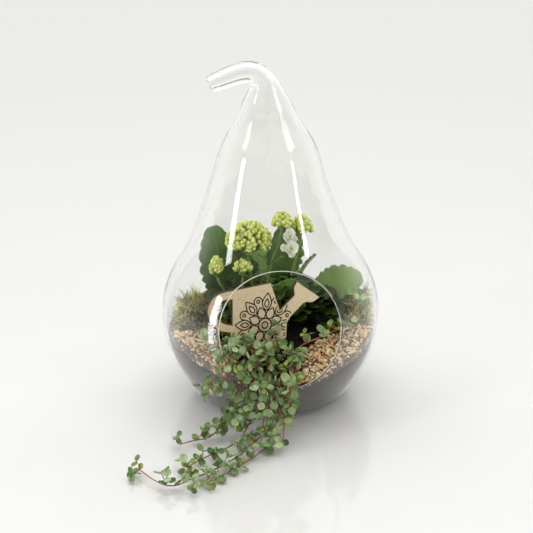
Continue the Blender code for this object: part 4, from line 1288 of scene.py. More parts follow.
def planted(x, y):
    """The first points of a stem that stands in the soil."""
    ground = soil_height(x, y)
    return [Vector((x, y, ground - PLANT_DEPTH)), Vector((x, y, ground)), Vector((x, y, ground + 5))]


def scalloped(share, width, lobes):
    """Half width of the leaf at a share of its length; no two lobes are quite the same."""
    full = math.sin(math.pi * min(0.985, 0.05 + 0.92 * share) ** 0.85)
    wave = abs(math.sin(math.pi * (lobes * share + 0.3 + 0.25 * math.sin(width + 9 * share)))) ** 0.6
    cut = LOBE_DEPTH * smooth_step(share * 4) * (1 - wave)
    return max(0.5, width / 2 * max(0.0, full) ** 0.55 * (1 - cut))


# %% Leaf surface
def leaf_grid(base, tip, facing, width, bow, rows, columns, lobes):
    """Middle points of a cupped blade with a pressed midrib and side veins."""
    base, tip, facing = Vector(base), Vector(tip), Vector(facing).normalized()
    along = (tip - base).normalized()
    side = along.cross(facing).normalized()
    normal = side.cross(along)
    grid = []
    for k in range(rows + 1):
        share = k / rows
        middle = base.lerp(tip, share) + facing * (bow * math.sin(math.pi * share))
        half = scalloped(share, width, lobes)
        row = []
        for j in range(columns + 1):
            across = 2 * j / columns - 1
            cup = 0.16 * half * across ** 2
            vein = abs(math.sin(math.pi * VEIN_PAIRS * (share - VEIN_SLANT * abs(across))))
            pressed = 0.5 * math.exp(-(across / 0.09) ** 2) + 0.22 * math.exp(-(vein / 0.25) ** 2)
            uneven = 1 if across > 0 else -0.8
            ripple = 0.9 * math.sin(2 * math.pi * lobes * share + 2) * across ** 4 * uneven
            row.append(middle + side * (half * across) + normal * (cup - pressed + ripple))
        grid.append(row)
    return grid


def make_leaf(node, root, base, tip, facing, width, bow, finish, number):
    """A blade on a round stalk that stands in the soil and runs a little way into the blade."""
    pile = Pile()
    base, tip = Vector(base), Vector(tip)
    near, into_blade = [base.lerp(tip, share) + Vector(facing).normalized()
                        * (bow * math.sin(math.pi * share) - sink)
                        for share, sink in ((0.1, 0.6), (0.3, 0.9))]
    foot = planted(*root)
    stalk = smooth_line(foot + [foot[-1].lerp(base, 0.5) + UP * 3, base, near, into_blade], 4)
    shoot(pile, stalk, tapered(stalk, 2.1, 0.5), 10, number)
    sheet(pile, leaf_grid(base, tip, facing, width, bow, LEAF_ROWS, LEAF_COLUMNS, LEAF_LOBES), 1.2, number)
    return make_piece(node + "_blade", pile, [finish], [node])


# %% [markdown]
# The finish reads how far along and across the blade each point is: paler veins follow the same formula as
# the mesh, the green is mottled by soft noise, and the surface has a dull waxy gloss.

# %% Leaf finish
def leaf_finish(name, tones):
    """Three tones from dark to light, a fourth for the leaf's own number, and the veins."""
    finish, shader = new_finish(name, 0.45, Specular_IOR_Level=0.35)
    along, across, own = place_of(finish)
    aside = calc(finish, "ABSOLUTE", across)
    green = ramp(finish, grain_of(finish, 14, 4.0), list(zip((0.3, 0.55, 0.75), tones)))
    lighter = blend(finish, own, green, tones[3])
    slanted = calc(finish, "SUBTRACT", along, calc(finish, "MULTIPLY", aside, VEIN_SLANT))
    wave = calc(finish, "SINE", calc(finish, "MULTIPLY", slanted, math.pi * VEIN_PAIRS))
    side_vein = calc(finish, "LESS_THAN", calc(finish, "ABSOLUTE", wave), 0.1)
    midrib = calc(finish, "LESS_THAN", aside, 0.055)
    vein = calc(finish, "MAXIMUM", calc(finish, "MULTIPLY", side_vein, 0.15),
                calc(finish, "MULTIPLY", midrib, 0.3))
    return complete(finish, shader, blend(finish, vein, lighter, (0.2, 0.3, 0.1)), 1.5, 0.2, 0.35)


kalanchoe_green = leaf_finish("kalanchoe_green", [(0.04, 0.105, 0.015), (0.068, 0.16, 0.024),
                                                  (0.11, 0.22, 0.042), (0.2, 0.3, 0.075)])
for leaf_number, (leaf_node, leaf_shape) in enumerate(LEAVES.items()):
    make_leaf(leaf_node, *leaf_shape, kalanchoe_green, 0.1 + 0.5 * (leaf_number % 3) / 2)

# %% [markdown]
# Below the big leaves the real plant is a thicket of smaller ones, which makes the inside of the pear dark.
# They are drawn at random round the stalks with the same leaf formula. A leaf that would touch the glass,
# the ground or the plywood is thrown away, so none of them has to be placed by hand, and so is one that
# would show above the thicket's outline as the camera sees it. These inner leaves are painted a much darker
# green than the outer ones: painted shade for the inside of the thicket.

# %% Room for the undergrowth
CROWN_TOP_RIGHT = 137
CROWN_TOP_LEFT = 136
CROWN_FALL = 0.3
SIGHT_FALL = 0.38
CAN_REACH = ((-27, 105), 3, 30)


def clear_inside(point, margin):
    """Whether a point is inside the pear, above the ground and away from the plywood plate."""
    if math.hypot(point.x, point.y) > inner_radius(point.z) - margin:
        return False
    if point.z < grit_height(point.x, point.y) + 0.5:
        return False
    flat = CAN_PLACE.inverted() @ point
    (left, right), top, front = CAN_REACH
    return flat.z < -PLY / 2 - margin or not (left < flat.x < right and flat.y < top and flat.z < front)


def stands_too_high(points, x):
    """Whether a leaf shows above the thicket, whose outline falls away to both sides."""
    limit = CROWN_TOP_RIGHT - CROWN_FALL * x if x > 0 else CROWN_TOP_LEFT + CROWN_FALL * x
    return max(point.z + SIGHT_FALL * point.y for point in points) > limit


# %% Undergrowth
UNDERGROWTH = 185
THICKET_MIDDLE = 20
THICKET_REACH = (82, 42)
SMALL_ROWS = 16
SMALL_COLUMNS = 8


def make_undergrowth(finish):
    draw = random.Random(77)
    pile = Pile()
    grown = 0
    while grown < UNDERGROWTH:
        turn = draw.uniform(0, 2 * math.pi)
        reach = math.sqrt(draw.random())
        x = THICKET_REACH[0] * reach * math.cos(turn)
        y = THICKET_MIDDLE + THICKET_REACH[1] * reach * math.sin(turn)
        base = Vector((x, y, draw.uniform(78, 114)))
        out = Vector((math.cos(turn), math.sin(turn) - 0.5, draw.uniform(0.0, 1.0))).normalized()
        length = draw.uniform(20, 36)
        facing = (UP + Vector((draw.uniform(-0.6, 0.6), draw.uniform(-1.0, 0.1), 0))).normalized()
        facing = (facing - out * facing.dot(out)).normalized()
        grid = leaf_grid(base, base + out * length, facing, length * draw.uniform(0.7, 0.9), 3, SMALL_ROWS,
                         SMALL_COLUMNS, 4)
        if not all(clear_inside(grid[k][j], 3) for k in (0, 5, 11, 16) for j in (0, 4, 8)):
            continue
        if stands_too_high(grid[SMALL_ROWS] + grid[SMALL_ROWS // 2], x):
            continue
        sheet(pile, grid, 1.1, draw.uniform(0.0, 0.4))
        foot = Vector((x * 0.6, 12 + (y - 12) * 0.6, 0))
        foot.z = soil_height(foot.x, foot.y) - 2
        stem = smooth_line([foot, foot.lerp(base, 0.5) + UP * 4, base, grid[3][4] - facing * 0.3], 5)
        shoot(pile, stem, tapered(stem, 1.3, 0.5), 7, 0.2)
        grown += 1
    return make_piece("kalanchoe_undergrowth", pile, [finish])


# Painted shade: these leaves are painted much darker than the big ones, for the shade inside the thicket.
shaded_green = leaf_finish("shaded_green", [(0.006, 0.02, 0.002), (0.013, 0.036, 0.004),
                                            (0.03, 0.075, 0.008), (0.05, 0.1, 0.012)])
make_undergrowth(shaded_green)

# %% [markdown]
# ## Flower stalks and buds
#
# Each head is a dome of closed buds on branching stalks. A bud is an egg that narrows into four folded petal
# tips, green where it leaves its cup and lime-yellow at the point; the dark foot is partly painted shade and
# the pale point partly a painted highlight. A turned profile with a fourfold wave towards the tip gives that
# shape, and the same golden-angle rule as in the CAD spreads the buds over the dome, with about five times as
# many of them.

# %% Stalks
STALKS = {
    "kalanchoe_stalk_big": ([(-12, 12), (-15, 12, 100), (-20, 11, 130), (-23, 10, 152)], 0.62, 20),
    "kalanchoe_stalk_top": ([(2, 10), (-3, 10, 110), (1, 8, 140), (9, 7, 166), (12.5, 7, 179)], 0.7, 160),
    "kalanchoe_stalk_right": ([(14, 14), (20, 14, 110), (29, 13, 148), (33, 11, 170)], 0.55, 40),
    "kalanchoe_stalk_left": ([(-34, 12), (-42, 11, 96), (-51, 8, 118), (-56, 6, 130)], 0.5, 60),
    "kalanchoe_stalk_low": ([(-22, 4), (-27, 4, 98), (-29, 2, 116), (-29.5, 0, 132)], 0.5, 110),
}
STALK_RADIUS = 1.7
BRACT_REACH = 15
BRACT_RISE = 9
BRACT_WIDTH = 8


def stalk_line(node, step=13):
    """The middle line of a stalk; the step is the one that the CAD uses."""
    points = STALKS[node][0]
    return smooth_line(planted(*points[0]) + points[1:], step)


def make_stalk(node, finish):
    """A round stalk with a pair of narrow leaves at a share of its height."""
    _, share, turn = STALKS[node]
    coarse = stalk_line(node)
    at = coarse[round(share * (len(coarse) - 1))]
    line = stalk_line(node, 4)
    pile = Pile()
    shoot(pile, line, tapered(line, STALK_RADIUS, 0.15), 12, 0.8)
    for half in (0, 180):
        angle = math.radians(turn + half)
        out = Vector((math.cos(angle), math.sin(angle), 0))
        tip = at + out * BRACT_REACH + UP * BRACT_RISE
        sheet(pile, leaf_grid(at + out * 0.4, tip, UP - out * 0.3, BRACT_WIDTH, 1.5, 18, 8, 2), 0.9, 0.6)
    return make_piece(node + "_shoot", pile, [finish], [node])


for stalk_node in STALKS:
    make_stalk(stalk_node, kalanchoe_green)

# %% Buds
BUD = 3.0
BUD_LENGTH = 2.35
BUD_SIDES = 16
BUD_PROFILE = [(0.0, 0.35), (0.06, 0.62), (0.16, 0.85), (0.3, 1.0), (0.45, 1.0), (0.6, 0.9), (0.74, 0.72),
               (0.86, 0.5), (0.95, 0.28), (1.0, 0.1)]


def bud(pile, foot, way, size, number):
    """One closed bud that grows from its foot."""
    side, other = square_to(way)
    corners, places = [], []
    for share, wide in BUD_PROFILE:
        fold = 0.16 * smooth_step((share - 0.35) / 0.5)
        for s, turn in enumerate(turns_of(BUD_SIDES)):
            radius = size * wide * (1 - fold * (0.5 - 0.5 * math.cos(4 * (turn + share * 0.8))))
            corners.append(foot + way * (share * size * BUD_LENGTH)
                           + (side * math.cos(turn) + other * math.sin(turn)) * radius)
            places.append((share, s / BUD_SIDES, number))
    pile.add(corners, closed_tube(len(BUD_PROFILE), BUD_SIDES), places)


# %% Petals
PETAL_ROWS = 8
OPEN_LAYERS = ((6, 5.2, 1.1), (5, 4.0, 1.7), (3, 2.4, 2.4))


def petal_grid(heart, out, facing, reach, lift, draw):
    """A petal whose outer edge is crinkled."""
    side = out.cross(facing).normalized()
    phase = draw.uniform(0, 6.28)
    grid = []
    for k in range(PETAL_ROWS + 1):
        share = k / PETAL_ROWS
        rise = reach * 0.5 * lift * share ** 1.4 + 0.5 * math.sin(math.pi * share)
        half = reach * (0.1 + 0.36 * math.sin(math.pi * min(1.0, share * 0.62 + 0.06)) ** 1.2)
        row = []
        for j in range(9):
            across = j / 4 - 1
            crinkle = 0.14 * reach * share ** 2 * math.sin(phase + across * 6.5)
            rounding = 1 - 0.16 * across ** 2 * share
            row.append(heart + out * (reach * share * rounding) + side * (half * across)
                       + facing * (rise + crinkle + 0.5 * across ** 2))
        grid.append(row)
    return grid


def open_bud(pile, foot, facing, draw):
    """A bud that has just opened: rings of short petals that still stand up."""
    side, other = square_to(facing)
    for count, reach, lift in OPEN_LAYERS:
        for i in range(count):
            turn = 2 * math.pi * (i + draw.uniform(-0.15, 0.15)) / count + reach
            out = side * math.cos(turn) + other * math.sin(turn)
            sheet(pile, petal_grid(foot + out * 0.4, out, facing, reach, lift, draw), 0.4, draw.random(), 2)


# %% Heads
HEADS = {
    "kalanchoe_head_big": ("kalanchoe_stalk_big", (-22, 9, 169), (25, 19, 23.5), 150, 5, 3, [(-11, -10, 11)]),
    "kalanchoe_head_top": ("kalanchoe_stalk_top", (13, 7, 189), (12.5, 10, 14), 48, 2, 5, []),
    "kalanchoe_head_right": ("kalanchoe_stalk_right", (34.5, 10, 182), (13, 10.5, 16), 48, 2, 7,
                             [(0, -5, 10)]),
    "kalanchoe_head_left": ("kalanchoe_stalk_left", (-57, 5, 140), (9.5, 9, 15), 34, 2, 9, []),
    "kalanchoe_head_low": ("kalanchoe_stalk_low", (-29.5, -1, 142), (11, 9, 11), 30, 2, 11, []),
}
DOME_DEPTH = 1.35
OPEN_CLEAR = 4.5


def branches_of(pile, line, middle, radii, branches):
    """Grows the stalk's fork below a head and returns the ends of its branches."""
    along = (line[-1] - line[-2]).normalized()
    trunk = line[-1] + along * 3
    shoot(pile, [line[-1] - along * 0.5, trunk, trunk + along * 1.5], [1.5, 1.4, 1.0], 10, 0.9, 1)
    forks = []
    for b in range(branches):
        turn = 2 * math.pi * (b + 0.25) / branches
        fork = middle + Vector((radii[0] * 0.42 * math.cos(turn), radii[1] * 0.42 * math.sin(turn),
                                -radii[2] * 0.4))
        shoot(pile, smooth_line([trunk, trunk.lerp(fork, 0.5) + UP * 0.6, fork], 2), 1.0, 8, 0.9, 1)
        forks.append(fork)
    return forks


def make_head(node, stalk, middle, radii, count, branches, seed, opening, finishes):
    """Branches, the buds that have opened, and the closed ones spread over a dome."""
    draw = random.Random(seed)
    middle = Vector(middle)
    pile = Pile()
    forks = branches_of(pile, stalk_line(stalk), middle, radii, branches)
    for way in opening:
        open_bud(pile, middle + Vector(way) * 0.75, Vector(way).normalized(), draw)
    for i in range(count):
        lift = math.acos(1 - DOME_DEPTH * (i + 0.5) / count)
        turn = i * math.pi * (3 - math.sqrt(5)) + draw.uniform(-0.15, 0.15)
        way = dome_way(lift, turn)
        size = BUD * draw.uniform(0.72, 1.12)
        spot = middle + Vector([w * (r - size * 2.2 - draw.uniform(-0.8, 2.4)) for w, r in zip(way, radii)])
        if any((spot + way * size - middle - Vector(o)).length < OPEN_CLEAR for o in opening):
            continue
        fork = min(forks, key=lambda f: (f - spot).length)
        lean = (spot - fork).normalized().lerp(way, 0.6).normalized()
        shoot(pile, [fork, fork.lerp(spot, 0.5) - way * 0.4, spot + lean * 0.5], [0.6, 0.5, 0.75], 6, 0.9, 1)
        bud(pile, spot, lean, size, draw.random())
    return make_piece(node + "_buds", pile, finishes, [node])


# %% Bud finish
def bud_finish():
    finish, shader = new_finish("lime_bud", 0.45, Subsurface_Weight=0.15)
    shader.inputs["Subsurface Radius"].default_value = (0.004, 0.004, 0.001)
    shader.inputs["Subsurface Scale"].default_value = 0.4
    along, _, own = place_of(finish)
    # The buds' own green to lime, with painted shade at the foot and a painted highlight at the point.
    colour = ramp(finish, along, [(0.0, (0.05, 0.11, 0.01)), (0.22, (0.14, 0.24, 0.02)),
                                  (0.5, (0.34, 0.44, 0.05)), (0.78, (0.56, 0.63, 0.13)),
                                  (1.0, (0.8, 0.82, 0.36))])
    lighter = blend(finish, calc(finish, "MULTIPLY", own, 0.2), colour, (0.66, 0.7, 0.26))
    return complete(finish, shader, lighter, 1.2, 0.15, 0.4)


def petal_finish(name, heart, edge):
    """A petal that is greener at its heart, with soft darker patches."""
    finish, shader = new_finish(name, 0.6, Subsurface_Weight=0.1)
    shader.inputs["Subsurface Scale"].default_value = 0.002
    middle = tuple((h + e) / 2 for h, e in zip(heart, edge))
    colour = ramp(finish, place_of(finish)[0], [(0.0, heart), (0.45, middle), (0.85, edge), (1.0, edge)])
    patches = calc(finish, "MULTIPLY", grain_of(finish, 2.5), 0.4)
    shaded = blend(finish, patches, colour, tuple(c * 0.8 for c in edge))
    return complete(finish, shader, shaded, 0.8, 0.12, 0.35)


lime_bud = bud_finish()
cream_petal = petal_finish("cream_petal", (0.5, 0.6, 0.16), (0.8, 0.79, 0.42))
for head_node, head_shape in HEADS.items():
    make_head(head_node, *head_shape, [lime_bud, kalanchoe_green, cream_petal])

# %% [markdown]
# ## Open flowers
#
# Two white flowers have opened. They are double: layer on layer of crinkled petals that get smaller and more
# upright towards the middle. Each petal is a sheet whose outer edge is waved by a sine along it.

# %% Flower mesh
FLOWERS = {
    "kalanchoe_flower_upper": (158, (20.5, 1, 172.5), (-0.2, -0.58, 0.79), 7.2, 13),
    "kalanchoe_flower_lower": (148, (19.5, -9, 163.5), (0.1, -0.78, 0.62), 7.4, 17),
}
PETAL_LAYERS = [(5, 1.0, 0.5), (6, 0.95, 0.9), (5, 0.8, 1.35), (5, 0.6, 1.9), (4, 0.4, 2.7)]


def point_at_height(line, height):
    """The point where a rising line reaches a height."""
    for low, high in zip(line, line[1:]):
        if low.z <= height <= high.z:
            return low.lerp(high, (height - low.z) / (high.z - low.z))
    return line[-1]


def make_flower(node, height, middle, facing, petal, seed, finish, stalk_finish):
    """A short stalk from the right-hand flower stalk, and petals in layers."""
    draw = random.Random(seed)
    middle, facing = Vector(middle), Vector(facing).normalized()
    side, other = square_to(facing)
    foot = point_at_height(stalk_line("kalanchoe_stalk_right"), height)
    away = Vector((middle.x - foot.x, middle.y - foot.y, 0)).normalized()
    start = foot + away * (STALK_RADIUS - 0.4)
    route = [start, start + away * 2.4 + UP * 0.8, start.lerp(middle, 0.65) - facing * 1.5,
             middle - facing * 0.3]
    pile = Pile()
    shoot(pile, smooth_line(route, 1.5), 0.9, 8, 0.9, 1)
    for layer, (count, reach, lift) in enumerate(PETAL_LAYERS):
        for i in range(count):
            turn = 2 * math.pi * (i + 0.5 * layer + draw.uniform(-0.28, 0.28)) / count
            out = side * math.cos(turn) + other * math.sin(turn)
            out = (out + facing * draw.uniform(-0.4, 0.55)).normalized()
            heart = middle + facing * (0.4 * layer) + out * 0.4 + other * draw.uniform(-1.4, 1.4)
            long = petal * reach * draw.uniform(0.75, 1.3)
            grid = petal_grid(heart, out, facing, long, lift * draw.uniform(0.7, 1.3), draw)
            sheet(pile, grid, 0.35, draw.random())
    return make_piece(node + "_petals", pile, [finish, stalk_finish], [node])


# %% White petals
white_petal = petal_finish("white_petal", (0.5, 0.55, 0.2), (0.86, 0.86, 0.76))
for flower_node, flower_shape in FLOWERS.items():
    make_flower(flower_node, *flower_shape, white_petal, kalanchoe_green)

# %% [markdown]
# ## The trailing plant
#
# Seventeen thin red-brown stems come out of the soil behind the opening. Most climb over its edge and hang
# down to the table. Their leaves are round, 5 to 10 mm across, and sit in tufts at the joints. The CAD
# strands already hold the main leaves, placed clear of the glass and of each other, so this step reads each
# leaf's place from the frame, puts a finer one there, and then adds what the solids leave out: short side
# shoots with small young leaves.

# %% Stem routes
LINE_STEP = 3.0
FINE_STEP = 1.5
STRANDS = [
    ((-5, -79), [(-5, -88, 64), (-6, -106, 52.5), (-9, -117, 40), (-14, -121, 22), (-25, -127, 8),
                 (-38, -140, 4), (-51, -158, 4), (-66, -172, 4), (-80, -184, 4), (-95, -193, 4),
                 (-108, -203, 4), (-120, -205, 5), (-133, -192, 5), (-146, -174, 7)]),
    ((-15, -79), [(-17, -90, 66), (-19, -106, 55), (-25, -117, 42), (-33, -120, 24), (-43, -126, 9),
                  (-56, -137, 5), (-71, -148, 5), (-86, -160, 5), (-99, -173, 5)]),
    ((4, -78), [(1, -90, 62), (-1, -106, 52), (-4, -120, 38), (-8, -127, 20), (-15, -137, 8),
                (-28, -152, 4), (-45, -170, 4), (-63, -187, 4), (-82, -203, 4), (-97, -216, 5)]),
    ((-33, -76), [(-35, -90, 74), (-38, -103, 65), (-46, -113, 52), (-54, -116, 34), (-63, -115, 16),
                  (-75, -117, 6), (-90, -120, 5), (-105, -127, 5)]),
    ((-40, -71), [(-43, -86, 80), (-47, -101, 74), (-57, -110, 66), (-68, -113, 58), (-78, -113, 51)]),
    ((15, -76), [(12, -90, 64), (10, -104, 56), (8, -114, 47), (7, -119, 36), (6, -120, 25)]),
    ((9, -71), [(6, -90, 58), (4, -106, 53.5), (1, -120, 42), (0, -128, 28), (-1, -135, 16),
                (-3, -140, 9)]),
    ((-11, -72), [(-12, -90, 72), (-12, -107, 60), (-16, -122, 46), (-20, -129, 32), (-22, -132, 20)]),
    ((-24, -77), [(-25, -90, 70), (-27, -105, 58), (-34, -117, 48), (-42, -123, 34), (-47, -125, 20)]),
    ((-44, -66), [(-46, -81, 88), (-49, -95, 87), (-55, -107, 82), (-63, -114, 74), (-72, -116, 65)]),
    ((19, -70), [(17, -80, 69), (14, -92, 70), (11, -105, 66), (8, -118, 58), (6, -125, 48),
                 (4, -128, 38)]),
    ((1, -67), [(1, -68, 72), (0, -66, 84), (-3, -66, 97)]),
    ((-25, -69), [(-27, -72, 74), (-31, -78, 86), (-35, -82, 94)]),
    ((15, -64), [(25, -60, 76), (41, -55, 81), (57, -50, 85), (72, -45, 91), (84, -38, 101),
                 (90, -33, 114)]),
    ((-47, -60), [(-48, -61, 75), (-56, -65, 83), (-66, -69, 89), (-73, -68, 96)]),
    ((-8, -65), [(-9, -72, 74), (-12, -82, 82), (-16, -92, 84)]),
    ((8, -64), [(9, -72, 72), (12, -82, 78), (14, -93, 76)]),
]


def distance_to(line, point):
    """How far a point is from a line of straight pieces."""
    best = 1e9
    for low, high in zip(line, line[1:]):
        share = min(1.0, max(0.0, (point - low).dot(high - low) / (high - low).length_squared))
        best = min(best, (low.lerp(high, share) - point).length)
    return best


# %% Reading the leaves of a CAD strand
STEM_REACH = 1.6
LEAF_CORNERS = 8


def cad_leaves(node, line):
    """The spot, way out, width way and size of each leaf that the solid strand holds."""
    solid = bmesh.new()
    solid.from_mesh(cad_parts[node].data)
    bmesh.ops.remove_doubles(solid, verts=solid.verts, dist=1e-6)
    far = {v: distance_to(line, v.co / MM) for v in solid.verts}
    left = {v for v in solid.verts if far[v] > STEM_REACH}
    leaves = []
    while left:
        group, fresh = set(), [min(left, key=lambda v: v.index)]
        while fresh:
            v = fresh.pop()
            if v in left:
                left.discard(v)
                group.add(v)
                fresh += [e.other_vert(v) for e in v.link_edges]
        if len(group) != LEAF_CORNERS:
            continue
        order = sorted(group, key=lambda v: far[v])
        near, tip = [v.co / MM for v in order[:4]], [v.co / MM for v in order[4:]]
        near_middle, tip_middle = sum(near, Vector()) / 4, sum(tip, Vector()) / 4
        size = (tip_middle - near_middle).length
        out = (tip_middle - near_middle).normalized()
        wide = max(((a - b) for a in near for b in near), key=lambda way: way.length)
        wide = (wide - out * wide.dot(out)).normalized()
        leaves.append((tip_middle - out * size * 2.05, out, wide, size))
    solid.free()
    return leaves


# %% Round leaves
ROUND_ROWS = 8


def round_leaf(pile, spot, out, wide, size, number, fold=0.0):
    """A round leaf on a short stalk; it is folded along its middle and its edge is a little wavy."""
    facing = wide.cross(out).normalized()
    if facing.z < 0:
        facing = -facing
        wide = -wide
    base = spot + out * size * 0.2
    length = size * 1.95
    grid = []
    for k in range(ROUND_ROWS + 1):
        share = k / ROUND_ROWS
        half = size * max(0.1, math.sqrt(max(0.0, 1 - (2 * share - 1) ** 2))) * (1.02 - 0.1 * share)
        row = []
        for j in range(9):
            across = j / 4 - 1
            cup = size * (0.14 * across ** 2 + fold * abs(across) - 0.12 * math.sin(math.pi * share))
            wave = 0.05 * size * math.sin(5 * across + 9 * share + 6 * number)
            notch = 1 - 0.06 * abs(across) ** 3 * (0.5 + 0.5 * math.cos(10 * math.pi * share))
            row.append(base + out * (length * share) + wide * (half * across * notch) + facing * (cup + wave))
        grid.append(row)
    sheet(pile, grid, 0.55, number)
    shoot(pile, [spot, base.lerp(spot, 0.4) - facing * 0.15, base + out * 0.5 - facing * 0.1],
          [0.42, 0.35, 0.3], 5, number, 1)


def crowded(middle, size, others, share):
    """Whether a leaf's middle is too near to the middle of another leaf."""
    return any((middle - other).length < share * (size + own) for other, own in others)


def clear_of_glass(point):
    """Whether a point is away from the glass wall, the ground and the plywood plate."""
    reach = math.hypot(point.x, point.y)
    in_opening = off_axis(point) < OPENING_RADIUS - 3 and point.y < 0
    if abs(reach - outer_radius(point.z) + WALL / 2) < 2.6 and not in_opening:
        return False
    if reach < outer_radius(point.z) - WALL and point.z < grit_height(point.x, point.y) + 1:
        return False
    flat = CAN_PLACE.inverted() @ point
    in_plate = abs(flat.z) < PLY / 2 + 0.8 and -26 < flat.x < 104 and -100 < flat.y < 2
    return point.z > 0.8 and not in_plate


# %% Side shoots
YOUNG_SHARE = 0.12
RIGHT_LIMIT = 13.0


def leaf_fits(at, leaf_out, middle, size, kept, grown):
    """Whether a new leaf is off the table, clear of the others and of the glass, and not too far right."""
    if middle.z < size * 0.6 + 1 or crowded(middle, size, kept, 0.76) or crowded(middle, size, grown, 0.72):
        return False
    if middle.y < -100 and middle.z < 62 and middle.x > RIGHT_LIMIT:
        return False
    return clear_of_glass(at + leaf_out * size * 2.1) and clear_of_glass(middle)


def side_shoot(pile, spot, out, length, draw, kept, biggest=4.6):
    """A short shoot with leaves in pairs; leaves that don't fit are left out."""
    bend = stray(draw, 0.5) + UP * 0.25
    end = spot + (out + bend * 0.5).normalized() * length
    line = smooth_line([spot, spot + out * length * 0.5, end], FINE_STEP)
    way = (line[-1] - line[-2]).normalized()
    side = way.orthogonal().normalized()
    grown = []
    young = draw.random() < YOUNG_SHARE
    start = draw.uniform(0, math.pi)
    for n in range(draw.choice((2, 3, 4, 4))):
        turn = start + math.pi * n + math.pi / 2 * (n // 2) + draw.uniform(-0.3, 0.3)
        at = line[-1] if n < 2 else line[round((len(line) - 1) * 0.6)]
        leaf_out = (Matrix.Rotation(turn, 3, way) @ side + way * draw.uniform(0.1, 0.8)).normalized()
        size = draw.uniform(2.5, 3.3) if young else draw.uniform(3.2, biggest)
        middle = at + leaf_out * size * 1.1
        if not leaf_fits(at, leaf_out, middle, size, kept, grown):
            continue
        grown.append((middle, size))
        number = draw.uniform(0.8, 1.0) if young else draw.uniform(0.0, 0.85)
        round_leaf(pile, at, leaf_out, way.cross(leaf_out).normalized(), size, number, draw.uniform(0, 0.35))
    if grown:
        shoot(pile, line, 0.5, 6, draw.random(), 1)
    kept += grown


# %% Whole strands
THICK_LOW = (-60, 8)
THICK_HIGH = (38, 100)
THICK_FRONT = -78
CLUMP_FOOT = 42
FIRST_EXTRA, EXTRA_EVERY = 12, 3


def thick_at(spot):
    """Whether a point of a stem lies in the thick of the clump, before the opening."""
    return (THICK_LOW[0] < spot.x < THICK_HIGH[0] and THICK_LOW[1] < spot.z < THICK_HIGH[1]
            and spot.y < THICK_FRONT)


def make_strand(number, finish, stem_finish, kept):
    """The stem, a finer leaf for each leaf of the solid, and side shoots at the joints and in the clump."""
    root, route = STRANDS[number]
    node = "pilea_strand_%02d" % (number + 1)
    draw = random.Random(100 + number)
    coarse = smooth_line(planted(*root) + route, LINE_STEP)
    line = smooth_line(planted(*root) + route, FINE_STEP)
    pile = Pile()
    joints = []
    for spot, out, wide, size in cad_leaves(node, coarse):
        round_leaf(pile, spot, out, wide, size * 1.06, draw.uniform(0.0, 0.9), draw.uniform(0, 0.3))
        if all((spot - joint).length > 2 for joint, _ in joints):
            joints.append((spot, out))
        kept.append((spot + out * size * 1.1, size))
    radii = []
    for k, point in enumerate(line):
        swell = max([math.exp(-((point - joint).length / 1.4) ** 2) for joint, _ in joints] + [0])
        radii.append(0.85 * (1 - 0.3 * k / len(line)) + 0.22 * swell)
    shoot(pile, line, radii, 8, draw.random(), 1)
    for spot, out in joints:
        for _ in range(draw.choice((1, 2))):
            turned = Matrix.Rotation(draw.uniform(-2.2, 2.2), 3, UP) @ out
            rising = (turned + UP * draw.uniform(0.0, 0.7)).normalized()
            side_shoot(pile, spot, rising, draw.uniform(5, 12), draw, kept)
    for k in range(FIRST_EXTRA, len(line) - 1, EXTRA_EVERY):
        spot = line[k]
        if thick_at(spot) and draw.random() < (0.34 if spot.z > CLUMP_FOOT else 0.1):
            out = Vector((draw.uniform(-1, 1), draw.uniform(-1.2, 0.2), draw.uniform(-0.3, 1))).normalized()
            side_shoot(pile, spot, out, draw.uniform(5, 13), draw, kept, 4.8)
    return make_piece("trailing_strand_%02d" % (number + 1), pile, [finish, stem_finish],
                      [node])


# %% [markdown]
# The leaves are grey-green and dull, with paler patches, a paler midrib and a paler edge, and the young ones
# are yellower. The paleness of the patches and the edge is partly the leaf's own and partly a painted sheen.
# The stems are rust-brown and slightly glossy.

# %% Finishes of the trailing plant
PALE_AND_SHEEN = (1.5, 1.42, 1.5)


def small_leaf_finish():
    finish, shader = new_finish("small_leaf_green", 0.42)
    _, across, own = place_of(finish)
    aside = calc(finish, "ABSOLUTE", across)
    green = ramp(finish, own, [(0.0, (0.085, 0.165, 0.05)), (0.4, (0.21, 0.325, 0.12)),
                               (0.78, (0.38, 0.49, 0.25)), (0.86, (0.2, 0.31, 0.06)),
                               (1.0, (0.28, 0.4, 0.09))])
    # Partly the leaf's own paler tone, partly a painted sheen.
    pale_and_sheen = blend(finish, 1.0, green, PALE_AND_SHEEN, "MULTIPLY")
    patches = ramp(finish, grain_of(finish, 2.6), [(0.35, (0, 0, 0)), (0.7, (1, 1, 1))])
    mottle = blend(finish, patches, green, pale_and_sheen)
    midrib = calc(finish, "LESS_THAN", aside, 0.07)
    veined = blend(finish, calc(finish, "MULTIPLY", midrib, 0.4), mottle, (0.33, 0.4, 0.2))
    rim = calc(finish, "POWER", aside, 6.0)
    rimmed = blend(finish, calc(finish, "MULTIPLY", rim, 0.5), veined, pale_and_sheen)
    return complete(finish, shader, rimmed, 1.0, 0.2, 0.5)


def stem_finish():
    finish, shader = new_finish("rust_stem", 0.5)
    colour = ramp(finish, grain_of(finish, 6.0), [(0.3, (0.22, 0.06, 0.02)), (0.55, (0.42, 0.15, 0.05)),
                                                  (0.75, (0.56, 0.27, 0.1))])
    join(finish, colour, shader.inputs["Base Color"])
    return finish


small_leaf_green, rust_stem = small_leaf_finish(), stem_finish()
placed_leaves = []
for strand_number in range(len(STRANDS)):
    make_strand(strand_number, small_leaf_green, rust_stem, placed_leaves)
print("round leaves:", len(placed_leaves))

